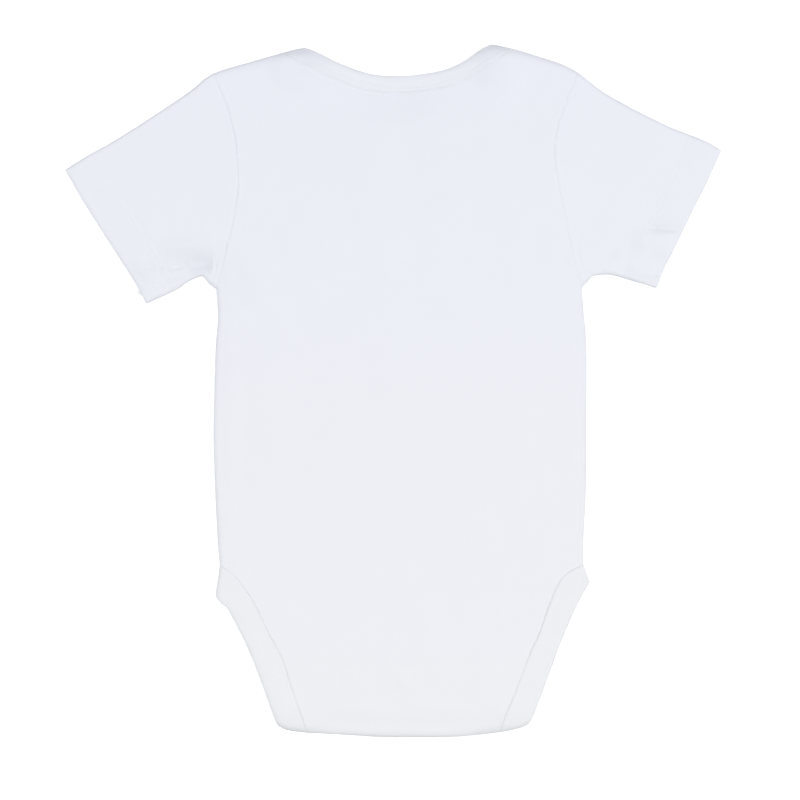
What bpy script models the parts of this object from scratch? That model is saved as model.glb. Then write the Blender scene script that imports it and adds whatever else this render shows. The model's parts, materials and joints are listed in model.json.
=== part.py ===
"""Short-sleeved baby bodysuit, laid flat on its front with its back up.

Metres, +Z up, +Y towards the neck. The cloth rests on the plane Z = 0.
The garment is a flattened tube: an upper leaf of cloth, a lower leaf, and
rounded folds round its outline where one leaf turns into the other.
Every piece is a wall of cloth laid through rows of points on those leaves.
"""

import math
from collections import namedtuple

import bmesh
import bpy
from mathutils import Vector

# Cloth
CLOTH = 0.0011  # thickness of the jersey wall
HEM_CLOTH = 0.0018  # the sleeve hem, where the jersey is turned up inside
NECK_BAND_CLOTH = 0.0014  # the folded strip round the neckline
LEG_BAND_CLOTH = 0.0016  # the folded strip round each leg opening
SEAM_GAP = 0.0003  # clear space between two pieces along a seam
FOLD_SEAM_GAP = 0.0011  # the same where a seam turns over a fold at a slant
FOLD_SEAM_REACH = 0.0050  # how far from the fold that wider gap tapers off
HEM_DEPTH = 0.020
NECK_BAND_WIDTH = 0.010
LEG_BAND_WIDTH = 0.015
TAB_BAND_BLEND = 0.012  # run over which a leg band takes up its own width
FRONT_BAND_BLEND = 0.020
BAND_END_CLEAR = 0.0009  # between a band's end and the armhole seam
NECK_BAND_PROUD = 0.00015  # how far each band stands over the cloth beside it
LEG_BAND_PROUD = 0.00025

# Lie of the cloth
FOLD_REACH = 0.0024  # how far from the outline a fold takes to round over
SIDE_DROP = 0.0007  # the edge stands upright this far from the side seam
FOLD_TURNS = (0.0, math.radians(45), math.radians(90))
CROWN = 0.0007  # air under the middle of the back
CROWN_START_Y = -0.130
CROWN_FULL_LOW_Y = 0.0
CROWN_FULL_HIGH_Y = 0.050
CROWN_END_Y = 0.170
BODY_CENTRE_X = 0.0040
BODY_HALF_WIDTH = 0.111
NECK_CENTRE_X = 0.0030
NECK_SAG = 0.0028  # the back neckline sinks into the lower front neckline
NECK_SAG_HALF_WIDTH = 0.050
NECK_SAG_START_Y = 0.155
NECK_SAG_END_Y = 0.187
STRAP_LIFT = 0.0017  # the front straps lie on top of the back's laps
STRAP_FLAT_Y = 0.106
STRAP_RAISED_Y = 0.136
STRAP_INNER_X = 0.025  # from the neck's middle, where the straps start to lift
STRAP_OUTER_X = 0.055
FLAP_LIFT = 0.0010  # the crotch flap lies on its snap caps
FLAP_FLAT_Y = -0.140
FLAP_RAISED_Y = -0.160
TAB_LIFT = 0.0030  # the crotch tab lies on top of the flap
TAB_FLAT_Y = -0.199
TAB_RAISED_Y = -0.187

# Crotch closure
SNAP_Y = -0.1725
SNAP_CENTRE_X = 0.0057
SNAP_SPACING = 0.032
SNAP_CAP_RADIUS = 0.0048
SNAP_CAP_THICKNESS = 0.0007
SNAP_POST_RADIUS = 0.0019
SNAP_HEAD_RADIUS = 0.0034
SNAP_HEAD_BASE = 0.0044
SNAP_HEAD_TOP = 0.0049
SNAP_EDGE = 0.0002
SNAP_HOLE_RADIUS = 0.0023
SNAP_HOLE_FOOT = -0.0010  # from below the flap to the hollow over the tab
SNAP_HOLE_TOP = 0.0047
SNAP_SIDES = 14
SNAP_HOLE_SIDES = 12

# Spacing of the rows and columns of points
ARMHOLE_SPACING = 0.0095
CURVE_STEPS = 24  # fine steps between two rows of a table
TANGENT_STEP = 0.0005  # along a curve, each way, to read its direction
FOLD_SEARCH = 0.020  # no fold further away than this can be the nearest that counts
WELD = 0.00002  # points of one piece closer than this are one point

Pair = namedtuple("Pair", "left_x left_y right_x right_y")
Point = namedtuple("Point", "x y")
BandRow = namedtuple("BandRow", "seam_x seam_y edge_x edge_y")
Level = namedtuple("Level", "y height")

# Upper leaf: height of its outer face along the garment, from the crotch up.
UPPER_LEVELS = (
    Level(-0.2040, 0.0050),
    Level(-0.1900, 0.0064),
    Level(-0.1580, 0.0064),
    Level(-0.1200, 0.0043),
    Level(0.0900, 0.0043),
    Level(0.1400, 0.0048),
)

# Side folds from the top of the leg bands up to the underarms.
SIDES = (
    Pair(-0.1034, -0.1039, 0.1133, -0.1036),
    Pair(-0.1050, -0.0870, 0.1137, -0.0870),
    Pair(-0.1062, -0.0600, 0.1147, -0.0600),
    Pair(-0.1075, -0.0300, 0.1156, -0.0300),
    Pair(-0.1072, 0.0000, 0.1157, 0.0000),
    Pair(-0.1064, 0.0270, 0.1156, 0.0270),
    Pair(-0.1048, 0.0450, 0.1142, 0.0450),
    Pair(-0.1057, 0.0615, 0.1130, 0.0625),
)

# Armhole seams from the underarms up to the shoulder points.
ARMHOLES = (
    Pair(-0.1057, 0.0615, 0.1130, 0.0625),
    Pair(-0.1008, 0.0820, 0.1073, 0.0820),
    Pair(-0.0955, 0.1050, 0.1026, 0.1050),
    Pair(-0.0927, 0.1250, 0.0985, 0.1250),
    Pair(-0.0932, 0.1400, 0.0965, 0.1400),
    Pair(-0.0957, 0.1550, 0.0974, 0.1550),
    Pair(-0.1004, 0.1720, 0.1030, 0.1720),
    Pair(-0.1082, 0.1897, 0.1108, 0.1901),
)

# Shoulder folds from the shoulder points up to the corners of the neck.
SHOULDERS = (
    Pair(-0.1082, 0.1897, 0.1108, 0.1901),
    Pair(-0.0998, 0.1934, 0.1060, 0.1937),
    Pair(-0.0872, 0.1973, 0.0982, 0.1973),
    Pair(-0.0746, 0.2009, 0.0868, 0.2010),
    Pair(-0.0608, 0.2043, 0.0737, 0.2049),
    Pair(-0.0532, 0.2056, 0.0590, 0.2074),
)
NECK_BAND_ON_FOLD = 0.0145  # length of shoulder fold that the neck band covers
NECK_CORNER_SLANT = 1.3  # run along the slanting seam for each step off the fold

# Outer edge of the back neckline, from the left corner to the right one.
NECK_EDGE = (
    Point(-0.0532, 0.2056),
    Point(-0.0432, 0.2006),
    Point(-0.0325, 0.1951),
    Point(-0.0141, 0.1897),
    Point(0.0040, 0.1884),
    Point(0.0193, 0.1901),
    Point(0.0315, 0.1929),
    Point(0.0422, 0.1978),
    Point(0.0514, 0.2032),
    Point(0.0590, 0.2074),
)

# Outer edge of each lap, under the shoulder, between neck corner and armhole.
LAP_EDGES = (
    Pair(-0.0532, 0.2056, 0.0590, 0.2074),
    Pair(-0.0600, 0.1935, 0.0663, 0.1945),
    Pair(-0.0672, 0.1810, 0.0733, 0.1820),
    Pair(-0.0762, 0.1650, 0.0822, 0.1655),
)
LAP_SEAM_ON_ARMHOLE = 0.0370  # from the shoulder point down the armhole
LAP_EDGE_ON_ARMHOLE = 0.0560

# Outer edge of the front neckline: along each strap, then down to the middle.
FRONT_NECK_SIDES = (
    Pair(-0.0930, 0.1860, 0.0990, 0.1860),
    Pair(-0.0780, 0.1915, 0.0840, 0.1920),
    Pair(-0.0650, 0.1945, 0.0710, 0.1955),
    Pair(-0.0530, 0.1915, 0.0590, 0.1925),
    Pair(-0.0440, 0.1810, 0.0500, 0.1810),
    Pair(-0.0350, 0.1690, 0.0410, 0.1690),
    Pair(-0.0230, 0.1590, 0.0290, 0.1590),
    Pair(-0.0100, 0.1541, 0.0160, 0.1541),
)
FRONT_NECK_MIDDLE = Point(0.0030, 0.1530)
STRAP_EDGE_ON_ARMHOLE = 0.0085  # from the shoulder point down the armhole
STRAP_SEAM_ON_ARMHOLE = 0.0190
STRAP_END_SHARE = 0.06  # of the neckline, where a strap turns to its armhole

# Sleeve folds: the top one from the shoulder point to the cuff, the lower one
# from the underarm to the cuff, and the cuff from its top to its lower corner.
SLEEVE_TOP_FOLDS = (
    Pair(-0.1082, 0.1897, 0.1108, 0.1901),
    Pair(-0.1148, 0.1855, 0.1163, 0.1862),
    Pair(-0.1232, 0.1793, 0.1255, 0.1793),
    Pair(-0.1448, 0.1649, 0.1444, 0.1687),
    Pair(-0.1682, 0.1505, 0.1674, 0.1573),
    Pair(-0.1838, 0.1409, 0.1858, 0.1503),
    Pair(-0.1964, 0.1325, 0.1964, 0.1440),
)
SLEEVE_LOWER_FOLDS = (
    Pair(-0.1057, 0.0615, 0.1130, 0.0625),
    Pair(-0.1104, 0.0650, 0.1166, 0.0661),
    Pair(-0.1146, 0.0690, 0.1194, 0.0692),
    Pair(-0.1178, 0.0684, 0.1249, 0.0703),
    Pair(-0.1243, 0.0654, 0.1318, 0.0697),
    Pair(-0.1310, 0.0605, 0.1432, 0.0662),
    Pair(-0.1480, 0.0528, 0.1575, 0.0620),
)
CUFFS = (
    Pair(-0.1964, 0.1325, 0.1964, 0.1440),
    Pair(-0.1871, 0.1167, 0.1868, 0.1251),
    Pair(-0.1748, 0.0973, 0.1784, 0.1075),
    Pair(-0.1641, 0.0815, 0.1693, 0.0892),
    Pair(-0.1546, 0.0660, 0.1616, 0.0738),
    Pair(-0.1480, 0.0528, 0.1575, 0.0620),
)

# Back leg bands: the seam to the panel and the free edge, from the crotch
# fold up to the fold at the side.
LEFT_LEG = (
    BandRow(-0.0518, -0.2047, -0.0680, -0.2010),
    BandRow(-0.0548, -0.1950, -0.0705, -0.1967),
    BandRow(-0.0613, -0.1766, -0.0757, -0.1822),
    BandRow(-0.0662, -0.1613, -0.0814, -0.1669),
    BandRow(-0.0743, -0.1453, -0.0874, -0.1523),
    BandRow(-0.0815, -0.1307, -0.0944, -0.1385),
    BandRow(-0.0919, -0.1147, -0.1022, -0.1279),
    BandRow(-0.1034, -0.1039, -0.1061, -0.1231),
)
RIGHT_LEG = (
    BandRow(0.0634, -0.2044, 0.0802, -0.1999),
    BandRow(0.0676, -0.1927, 0.0828, -0.1957),
    BandRow(0.0738, -0.1778, 0.0875, -0.1837),
    BandRow(0.0818, -0.1567, 0.0959, -0.1625),
    BandRow(0.0868, -0.1460, 0.0998, -0.1519),
    BandRow(0.0941, -0.1261, 0.1075, -0.1315),
    BandRow(0.1017, -0.1116, 0.1145, -0.1179),
    BandRow(0.1133, -0.1036, 0.1169, -0.1148),
)

# Seams of the hidden leg edges: the front's from the side fold down to the
# end of the flap, and the tab's from the crotch fold up to its end.
FRONT_LEGS = (
    Pair(-0.1034, -0.1039, 0.1133, -0.1036),
    Pair(-0.0930, -0.1125, 0.1040, -0.1120),
    Pair(-0.0810, -0.1245, 0.0924, -0.1240),
    Pair(-0.0695, -0.1395, 0.0809, -0.1395),
    Pair(-0.0585, -0.1565, 0.0699, -0.1565),
    Pair(-0.0505, -0.1720, 0.0619, -0.1720),
    Pair(-0.0475, -0.1830, 0.0589, -0.1830),
)
TAB_LEGS = (
    Pair(-0.0518, -0.2047, 0.0634, -0.2044),
    Pair(-0.0495, -0.1960, 0.0609, -0.1960),
    Pair(-0.0473, -0.1850, 0.0587, -0.1850),
    Pair(-0.0460, -0.1730, 0.0574, -0.1730),
    Pair(-0.0456, -0.1620, 0.0570, -0.1620),
)

# The fold at the crotch: over the left leg band, the panel, the right band.
LEFT_BAND_FOLD = (
    Point(-0.0680, -0.2010),
    Point(-0.0640, -0.2029),
    Point(-0.0580, -0.2041),
    Point(-0.0518, -0.2047),
)
CROTCH_FOLD = (
    Point(-0.0518, -0.2047),
    Point(-0.0325, -0.2056),
    Point(-0.0141, -0.2070),
    Point(0.0040, -0.2074),
    Point(0.0269, -0.2072),
    Point(0.0422, -0.2068),
    Point(0.0634, -0.2044),
)
RIGHT_BAND_FOLD = (
    Point(0.0802, -0.1999),
    Point(0.0765, -0.2016),
    Point(0.0705, -0.2032),
    Point(0.0634, -0.2044),
)

# Number of rows or columns of points along each stretch
SHOULDER_COLUMNS = 4
NECK_COLUMNS = 9
SLEEVE_ROWS = 8
LEG_ROWS = 7
SIDE_ROWS = 8
FRONT_LEG_ROWS = 8
TAB_ROWS = 8
LAP_ROWS = 5
FRONT_COLUMNS = 16
BAND_COLUMNS = 4
NECK_BAND_COLUMNS = 3

WHITE_JERSEY = (0.86, 0.87, 0.90, 1.0)
WHITE_RIB = (0.85, 0.86, 0.89, 1.0)
WHITE_LACQUER = (0.88, 0.88, 0.89, 1.0)


# ---------------------------------------------------------------- curves

def left_of(pairs):
    """The left column of a table of pairs, as points."""
    return [Vector((row.left_x, row.left_y)) for row in pairs]


def right_of(pairs):
    """The right column of a table of pairs, as points."""
    return [Vector((row.right_x, row.right_y)) for row in pairs]


def plan(rows):
    """A table of single points as vectors."""
    return [Vector((row.x, row.y)) for row in rows]


def catmull_rom(before, start, end, after, share):
    """A point on the smooth curve through start and end."""
    square = share * share
    cube = square * share
    return 0.5 * (
        2.0 * start
        + (end - before) * share
        + (2.0 * before - 5.0 * start + 4.0 * end - after) * square
        + (3.0 * start - before - 3.0 * end + after) * cube
    )


class Curve:
    """A smooth line through a few points in plan, read by length along it."""

    def __init__(self, points):
        ends = [2 * points[0] - points[1], *points, 2 * points[-1] - points[-2]]
        self.points = [points[0]]
        for index in range(1, len(ends) - 2):
            for step in range(1, CURVE_STEPS + 1):
                share = step / CURVE_STEPS
                self.points.append(catmull_rom(*ends[index - 1:index + 3], share))
        self.marks = [0.0]
        for start, end in zip(self.points, self.points[1:]):
            self.marks.append(self.marks[-1] + (end - start).length)
        self.length = self.marks[-1]

    def at(self, distance):
        """The point that lies this far along the line."""
        distance = min(max(distance, 0.0), self.length)
        for index in range(1, len(self.marks)):
            if self.marks[index] >= distance:
                run = self.marks[index] - self.marks[index - 1]
                share = (distance - self.marks[index - 1]) / run
                return self.points[index - 1].lerp(self.points[index], share)
        return self.points[-1].copy()

    def direction(self, distance):
        """The unit direction of the line this far along it."""
        ahead, behind = self.at(distance + TANGENT_STEP), self.at(distance - TANGENT_STEP)
        return (ahead - behind).normalized()


def beside(curve, distance, width):
    """The point a width to the left of a curve's direction of travel."""
    along = curve.direction(distance)
    return curve.at(distance) + Vector((-along.y, along.x)) * width


def fold_steps():
    """Distances from a fold at which its rounding is sampled."""
    return [FOLD_REACH * (1.0 - math.cos(turn)) for turn in FOLD_TURNS]


def spread(start, end, count):
    """Evenly spaced numbers from start to end, both included."""
    return [start + (end - start) * index / count for index in range(count + 1)]


def stations(length, count, fold_at_start=False, fold_at_end=False):
    """Distances along a line: close together at its folds, even between."""
    first = fold_steps() if fold_at_start else [0.0]
    last = [length - step for step in reversed(fold_steps())] if fold_at_end else [length]
    middle = spread(first[-1], last[0], count)[1:-1]
    return first + middle + last


# ---------------------------------------------------------------- leaves

def ease(value):
    """A soft step from 0 to 1."""
    value = min(max(value, 0.0), 1.0)
    return value * value * (3.0 - 2.0 * value)


def between(value, start, end):
    """How far a value has gone from start to end, eased."""
    return ease((value - start) / (end - start))


def fold_lines():
    """The lines in plan along which the upper leaf turns into the lower."""
    lines = []
    for side, leg in ((left_of, LEFT_LEG), (right_of, RIGHT_LEG)):
        lines.append(Curve(side(SHOULDERS)).points)
        lines.append(Curve(side(SLEEVE_TOP_FOLDS)).points)
        lines.append(Curve(side(SLEEVE_LOWER_FOLDS)).points)
        lines.append(Curve(side(SIDES)).points)
        nub = Vector((leg[-1].edge_x, leg[-1].edge_y))
        lines.append([Vector((leg[-1].seam_x, leg[-1].seam_y)), nub])
    for fold in (LEFT_BAND_FOLD, CROTCH_FOLD, RIGHT_BAND_FOLD):
        lines.append(Curve(plan(fold)).points)
    return lines


FOLD_LINES = fold_lines()


def segment_distance(point, start, end):
    """Distance in plan from a point to a straight stretch."""
    along = end - start
    share = (point - start).dot(along) / max(along.length_squared, 1e-12)
    return (point - start - along * min(max(share, 0.0), 1.0)).length


def fold_distance(point):
    """Distance in plan from a point to the nearest fold."""
    nearest = 1.0
    for line in FOLD_LINES:
        for start, end in zip(line, line[1:]):
            if abs(start.x - point.x) < FOLD_SEARCH and abs(start.y - point.y) < FOLD_SEARCH:
                nearest = min(nearest, segment_distance(point, start, end))
    return nearest


def rounding(point):
    """0 on a fold, 1 where the leaf has levelled out."""
    short = 1.0 - min(fold_distance(point) / FOLD_REACH, 1.0)
    return math.sqrt(1.0 - short * short)


def plain_level(y):
    """Height of the upper leaf's outer face before its crown and neck sag."""
    for low, high in zip(UPPER_LEVELS, UPPER_LEVELS[1:]):
        if y <= high.y:
            return low.height + (high.height - low.height) * between(y, low.y, high.y)
    return UPPER_LEVELS[-1].height


def upper_level(point):
    """Height of the upper leaf's outer face away from the folds."""
    across = min(abs(point.x - BODY_CENTRE_X) / BODY_HALF_WIDTH, 1.0)
    chest = between(point.y, CROWN_START_Y, CROWN_FULL_LOW_Y)
    chest *= between(point.y, CROWN_END_Y, CROWN_FULL_HIGH_Y)
    crown = CROWN * (1.0 - across ** 2) * chest
    neck = min(abs(point.x - NECK_CENTRE_X) / NECK_SAG_HALF_WIDTH, 1.0)
    sag = NECK_SAG * between(point.y, NECK_SAG_START_Y, NECK_SAG_END_Y)
    return plain_level(point.y) + crown - sag * (1.0 - neck ** 2) ** 2


def middle_level(point):
    """Height at which the two leaves meet on a fold."""
    return plain_level(point.y) / 2.0


def upper(point, proud=0.0):
    """A point on the outer face of the upper leaf."""
    middle = middle_level(point)
    rise = (upper_level(point) + proud - middle) * rounding(point)
    return Vector((point.x, point.y, middle + max(rise, SEAM_GAP / 2)))


def lower(point, level=0.0):
    """A point on the outer face of a lower leaf that lies at a level."""
    middle = middle_level(point)
    drop = (middle - level) * rounding(point)
    return Vector((point.x, point.y, middle - max(drop, SEAM_GAP / 2)))


def seam_room(point):
    """How far each piece stays from a seam here: more where it turns a fold."""
    away = min(fold_distance(point) / FOLD_SEAM_REACH, 1.0)
    return (SEAM_GAP * away + FOLD_SEAM_GAP * (1.0 - away)) / 2


def on_fold(point):
    """A point on a fold itself."""
    return Vector((point.x, point.y, middle_level(point)))


def front_level(point):
    """Level of the front panel: flat, but over the laps and the snap caps."""
    out = abs(point.x - NECK_CENTRE_X)
    strap = between(out, STRAP_INNER_X, STRAP_OUTER_X)
    strap *= between(point.y, STRAP_FLAT_Y, STRAP_RAISED_Y)
    flap = between(point.y, FLAP_FLAT_Y, FLAP_RAISED_Y)
    return STRAP_LIFT * strap + FLAP_LIFT * flap


def tab_level(point):
    """Level of the crotch tab: flat at the fold, then up onto the flap."""
    return TAB_LIFT * between(point.y, TAB_FLAT_Y, TAB_RAISED_Y)


# ---------------------------------------------------------------- grids

def shares(points):
    """How far along its polyline each point lies, from 0 to 1."""
    marks = [0.0]
    for start, end in zip(points, points[1:]):
        marks.append(marks[-1] + (end - start).length)
    return [mark / marks[-1] for mark in marks]


def patch(left, right, bottom, top):
    """Rows of points that fill the space between four edges in plan."""
    up = [(a + b) / 2 for a, b in zip(shares(left), shares(right))]
    low_across, high_across = shares(bottom), shares(top)
    rows = []
    for index, rise in enumerate(up):
        row = []
        for column, (low, high) in enumerate(zip(low_across, high_across)):
            across = low + (high - low) * rise
            sides = left[index].lerp(right[index], across)
            ends = bottom[column].lerp(top[column], rise)
            corners = left[0].lerp(right[0], across).lerp(left[-1].lerp(right[-1], across), rise)
            row.append(sides + ends - corners)
        rows.append(row)
    return rows


def make_surface(name, grids):
    """Make an open mesh from grids of points that share their edges."""
    shape = bmesh.new()
    for rows, closed, flip in grids:
        points = [[shape.verts.new(point) for point in row] for row in rows]
        for low, high in zip(points, points[1:]):
            count = len(low)
            for column in range(count if closed else count - 1):
                nextc = (column + 1) % count
                corners = [low[column], low[nextc], high[nextc], high[column]]
                shape.faces.new(reversed(corners) if flip else corners)
    bmesh.ops.remove_doubles(shape, verts=shape.verts, dist=WELD)
    bmesh.ops.dissolve_degenerate(shape, edges=shape.edges, dist=WELD / 2)
    mesh = bpy.data.meshes.new(name)
    shape.to_mesh(mesh)
    shape.free()
    mesh.shade_smooth()
    return mesh


def add_cloth(name, grids, thickness, material, collection):
    """Add a piece of cloth: a surface with its wall on the inner side."""
    piece = bpy.data.objects.new(name, make_surface(name, grids))
    collection.objects.link(piece)
    piece.data.materials.append(material)
    wall = piece.modifiers.new("Wall", "SOLIDIFY")
    wall.thickness = thickness
    wall.offset = -1.0
    return piece


def with_side_seams(rows, leaf, first, last, turn):
    """Rows whose side edges end in a short upright drop to the side seam."""
    dropped = []
    for index, (row, flat) in enumerate(zip(rows, leaf)):
        start, end = row[0], row[-1]
        if first <= index <= last:
            start, end = on_fold(flat[0]), on_fold(flat[-1])
            row[0] = start + Vector((0.0, 0.0, turn * SIDE_DROP))
            row[-1] = end + Vector((0.0, 0.0, turn * SIDE_DROP))
            start += Vector((0.0, 0.0, turn * SEAM_GAP / 2))
            end += Vector((0.0, 0.0, turn * SEAM_GAP / 2))
        dropped.append([start.copy(), *row, end.copy()])
    return dropped


def inset(points, amount):
    """Points moved sideways in plan, to the left of their direction."""
    moved = []
    for index, point in enumerate(points):
        start = points[max(index - 1, 0)]
        end = points[min(index + 1, len(points) - 1)]
        along = (end - start).normalized()
        moved.append(point + Vector((-along.y, along.x)) * amount)
    return moved


# ---------------------------------------------------------------- seams

class Side:
    """Every line of one half of the garment, sampled once for all pieces."""

    def __init__(self, column, leg_rows, inward):
        self.inward = inward  # +1 where left-of-travel upwards faces outwards
        self.armhole = Curve(column(ARMHOLES))
        self.side = Curve(column(SIDES))
        self.shoulder = Curve(column(SHOULDERS))
        self.sleeve_top = Curve(column(SLEEVE_TOP_FOLDS))
        self.sleeve_lower = Curve(column(SLEEVE_LOWER_FOLDS))
        self.cuff = Curve(column(CUFFS))
        self.lap = Curve(column(LAP_EDGES) + [self.down_armhole(LAP_EDGE_ON_ARMHOLE)])
        self.neck_corner = self.shoulder.at(self.shoulder.length - NECK_BAND_ON_FOLD)
        middle = beside(self.lap, self.lap.length / 2, -NECK_BAND_WIDTH * inward)
        foot = self.down_armhole(LAP_SEAM_ON_ARMHOLE)
        self.lap_seam = Curve([self.neck_corner, middle, foot])
        self.front_leg = Curve(column(FRONT_LEGS))
        self.tab_leg = Curve(column(TAB_LEGS))
        seam = Curve([Vector((row.seam_x, row.seam_y)) for row in leg_rows])
        edge = Curve([Vector((row.edge_x, row.edge_y)) for row in leg_rows])
        self.leg_seam = self.sample_leg(seam)
        self.leg_edge = self.sample_leg(edge)
        count = round(self.armhole.length / ARMHOLE_SPACING)
        marks = stations(self.armhole.length, count, True, True)
        self.armhole_points = [self.armhole.at(mark) for mark in marks]
        marks = stations(self.side.length, SIDE_ROWS, True, True)
        self.side_points = [self.side.at(mark) for mark in marks]

    def down_armhole(self, distance):
        """The point on the armhole this far below the shoulder point."""
        return self.armhole.at(self.armhole.length - distance)

    @staticmethod
    def sample_leg(curve):
        """Points along a back leg line, close together at both folds."""
        return [curve.at(mark) for mark in stations(curve.length, LEG_ROWS, True, True)]

    def panel_edge(self, leg, armhole):
        """A panel's outer edge: leg seam, side fold, then armhole seam."""
        gap = -SEAM_GAP / 2 * self.inward
        return inset(leg, gap)[:-1] + self.side_points[:-1] + inset(armhole, gap)


LEFT = Side(left_of, LEFT_LEG, 1)
RIGHT = Side(right_of, RIGHT_LEG, -1)


def neck_rows():
    """Seam and edge points of the back neck band, from fold to fold."""
    edge = Curve(plan(NECK_EDGE))
    marks = stations(edge.length, NECK_COLUMNS, True, True)
    edges = [edge.at(mark) for mark in marks]
    seams = [beside(edge, mark, -NECK_BAND_WIDTH) for mark in marks]
    for side, order in ((LEFT, 1), (RIGHT, -1)):
        corner = side.neck_corner
        reach = len(FOLD_TURNS) - 1
        rows = list(range(len(marks)))[::order]
        anchor = seams[rows[reach + 1]]
        for index in range(reach + 1):
            share = fold_steps()[index] / (anchor - corner).length * NECK_CORNER_SLANT
            seams[rows[index]] = corner.lerp(anchor, share)
    return seams, edges


NECK_SEAMS, NECK_EDGES = neck_rows()


# ---------------------------------------------------------------- pieces

def shoulder_marks(side):
    """Columns along a shoulder, from the armhole to the neck band."""
    length = side.shoulder.length - NECK_BAND_ON_FOLD - FOLD_SEAM_GAP / 2
    return stations(length, SHOULDER_COLUMNS, True, False)


def lap_grid(side):
    """The lap of the back panel, from the shoulder fold down to its band."""
    tops = [side.shoulder.at(mark) for mark in shoulder_marks(side)]
    across = shares(tops)
    seam = [side.lap_seam.at(side.lap_seam.length * (1.0 - share)) for share in across]
    lows = inset(seam, SEAM_GAP / 2 * side.inward)
    lows[-1] = tops[-1]
    rows = []
    for row, mark in enumerate(stations(LAP_SEAM_ON_ARMHOLE, LAP_ROWS, True, False)):
        share = mark / LAP_SEAM_ON_ARMHOLE
        points = [top.lerp(low, share) for top, low in zip(tops, lows)]
        along = side.armhole.direction(side.armhole.length - mark)
        across_seam = Vector((along.y, -along.x)) * side.inward
        bend = side.down_armhole(mark) + across_seam * (SEAM_GAP / 2) - points[0]
        points = [point + bend * (1.0 - part) for point, part in zip(points, across)]
        rows.append([on_fold(p) if row == 0 else lower(p) for p in points])
    return rows


def back_panel_grids():
    """The back: crotch tab, fold, main leaf and the two shoulder laps."""
    lefts = LEFT.panel_edge(LEFT.leg_seam, LEFT.armhole_points)
    rights = RIGHT.panel_edge(RIGHT.leg_seam, RIGHT.armhole_points)
    left_top = [LEFT.shoulder.at(mark) for mark in shoulder_marks(LEFT)]
    right_top = [RIGHT.shoulder.at(mark) for mark in shoulder_marks(RIGHT)][::-1]
    neck = inset(NECK_SEAMS, -1.0)
    neck = [s.lerp(away, seam_room(s)) for s, away in zip(NECK_SEAMS, neck)][1:-1]
    top = left_top + neck + right_top
    top[0], top[-1] = lefts[-1], rights[-1]
    fold = Curve(plan(CROTCH_FOLD))
    across = shares(top)
    fold_run = fold.length - SEAM_GAP
    bottom = [fold.at(SEAM_GAP / 2 + fold_run * share) for share in across]
    bottom[0], bottom[-1] = lefts[0], rights[0]
    leaf = patch(lefts, rights, bottom, top)
    rows = [[upper(point) for point in row] for row in leaf]
    rows[0] = [on_fold(point) for point in leaf[0]]
    shoulder = len(left_top)
    for column in list(range(shoulder)) + list(range(-shoulder, 0)):
        rows[-1][column] = on_fold(leaf[-1][column])
    first = len(LEFT.leg_seam) - 1
    rows = with_side_seams(rows, leaf, first, first + len(LEFT.side_points) - 1, 1)
    tab_marks = stations(LEFT.tab_leg.length, TAB_ROWS, True, False)
    left_tab = inset([LEFT.tab_leg.at(mark) for mark in tab_marks], -SEAM_GAP / 2)
    right_tab = inset([RIGHT.tab_leg.at(mark) for mark in tab_marks], SEAM_GAP / 2)
    end = [left_tab[-1].lerp(right_tab[-1], share) for share in across]
    left_tab[0], right_tab[0] = bottom[0], bottom[-1]
    under = patch(left_tab, right_tab, bottom, end)
    tab = []
    for row in under[1:]:
        points = [lower(point, tab_level(point)) for point in row]
        tab.append([points[0].copy(), *points, points[-1].copy()])
    grids = [(tab[::-1] + rows, False, False)]
    left_lap = lap_grid(LEFT)
    left_lap[0] = rows[-1][1:shoulder + 1]
    right_lap = lap_grid(RIGHT)
    right_lap[0] = rows[-1][-2:-shoulder - 2:-1]
    grids.append((left_lap, False, False))
    grids.append((right_lap, False, True))
    return grids


def front_neck(clear=0.0):
    """Seam and edge points of the front neckline, between the armholes.

    The points start and end this far clear of the armhole seams.
    """
    left = [LEFT.down_armhole(STRAP_EDGE_ON_ARMHOLE)] + left_of(FRONT_NECK_SIDES)
    right = [RIGHT.down_armhole(STRAP_EDGE_ON_ARMHOLE)] + right_of(FRONT_NECK_SIDES)
    middle = Vector((FRONT_NECK_MIDDLE.x, FRONT_NECK_MIDDLE.y))
    edge = Curve(left + [middle] + right[::-1])
    end = edge.length * STRAP_END_SHARE
    inner = spread(end, edge.length - end, FRONT_COLUMNS)
    seams = [beside(edge, mark, -NECK_BAND_WIDTH) for mark in inner]
    seams.insert(0, LEFT.down_armhole(STRAP_SEAM_ON_ARMHOLE))
    seams.append(RIGHT.down_armhole(STRAP_SEAM_ON_ARMHOLE))
    points = []
    for curve in (Curve(seams), edge):
        marks = stations(curve.length, FRONT_COLUMNS, True, True)
        if clear:
            inner = [mark for mark in marks if clear < mark < curve.length - clear]
            marks = [clear, *inner, curve.length - clear]
        points.append([curve.at(mark) for mark in marks])
    return points


def front_panel_grids():
    """The front: crotch flap, main leaf and the two straps."""
    sides = []
    for side in (LEFT, RIGHT):
        length = side.armhole.length - STRAP_SEAM_ON_ARMHOLE
        marks = stations(length, round(length / ARMHOLE_SPACING), True, False)
        armhole = [side.armhole.at(mark) for mark in marks]
        length = side.front_leg.length
        marks = stations(length, FRONT_LEG_ROWS, True, False)[::-1]
        leg = [side.front_leg.at(mark) for mark in marks]
        sides.append(side.panel_edge(leg, armhole))
    lefts, rights = sides
    seams, _edges = front_neck()
    top = inset(seams, -SEAM_GAP / 2)
    top[0], top[-1] = lefts[-1], rights[-1]
    bottom = [lefts[0].lerp(rights[0], share) for share in shares(top)]
    leaf = patch(lefts, rights, bottom, top)
    rows = [[lower(p, front_level(p)) for p in row] for row in leaf]
    first = len(leg) - 1
    rows = with_side_seams(rows, leaf, first, first + len(LEFT.side_points) - 1, -1)
    return [(rows, False, True)]


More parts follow.
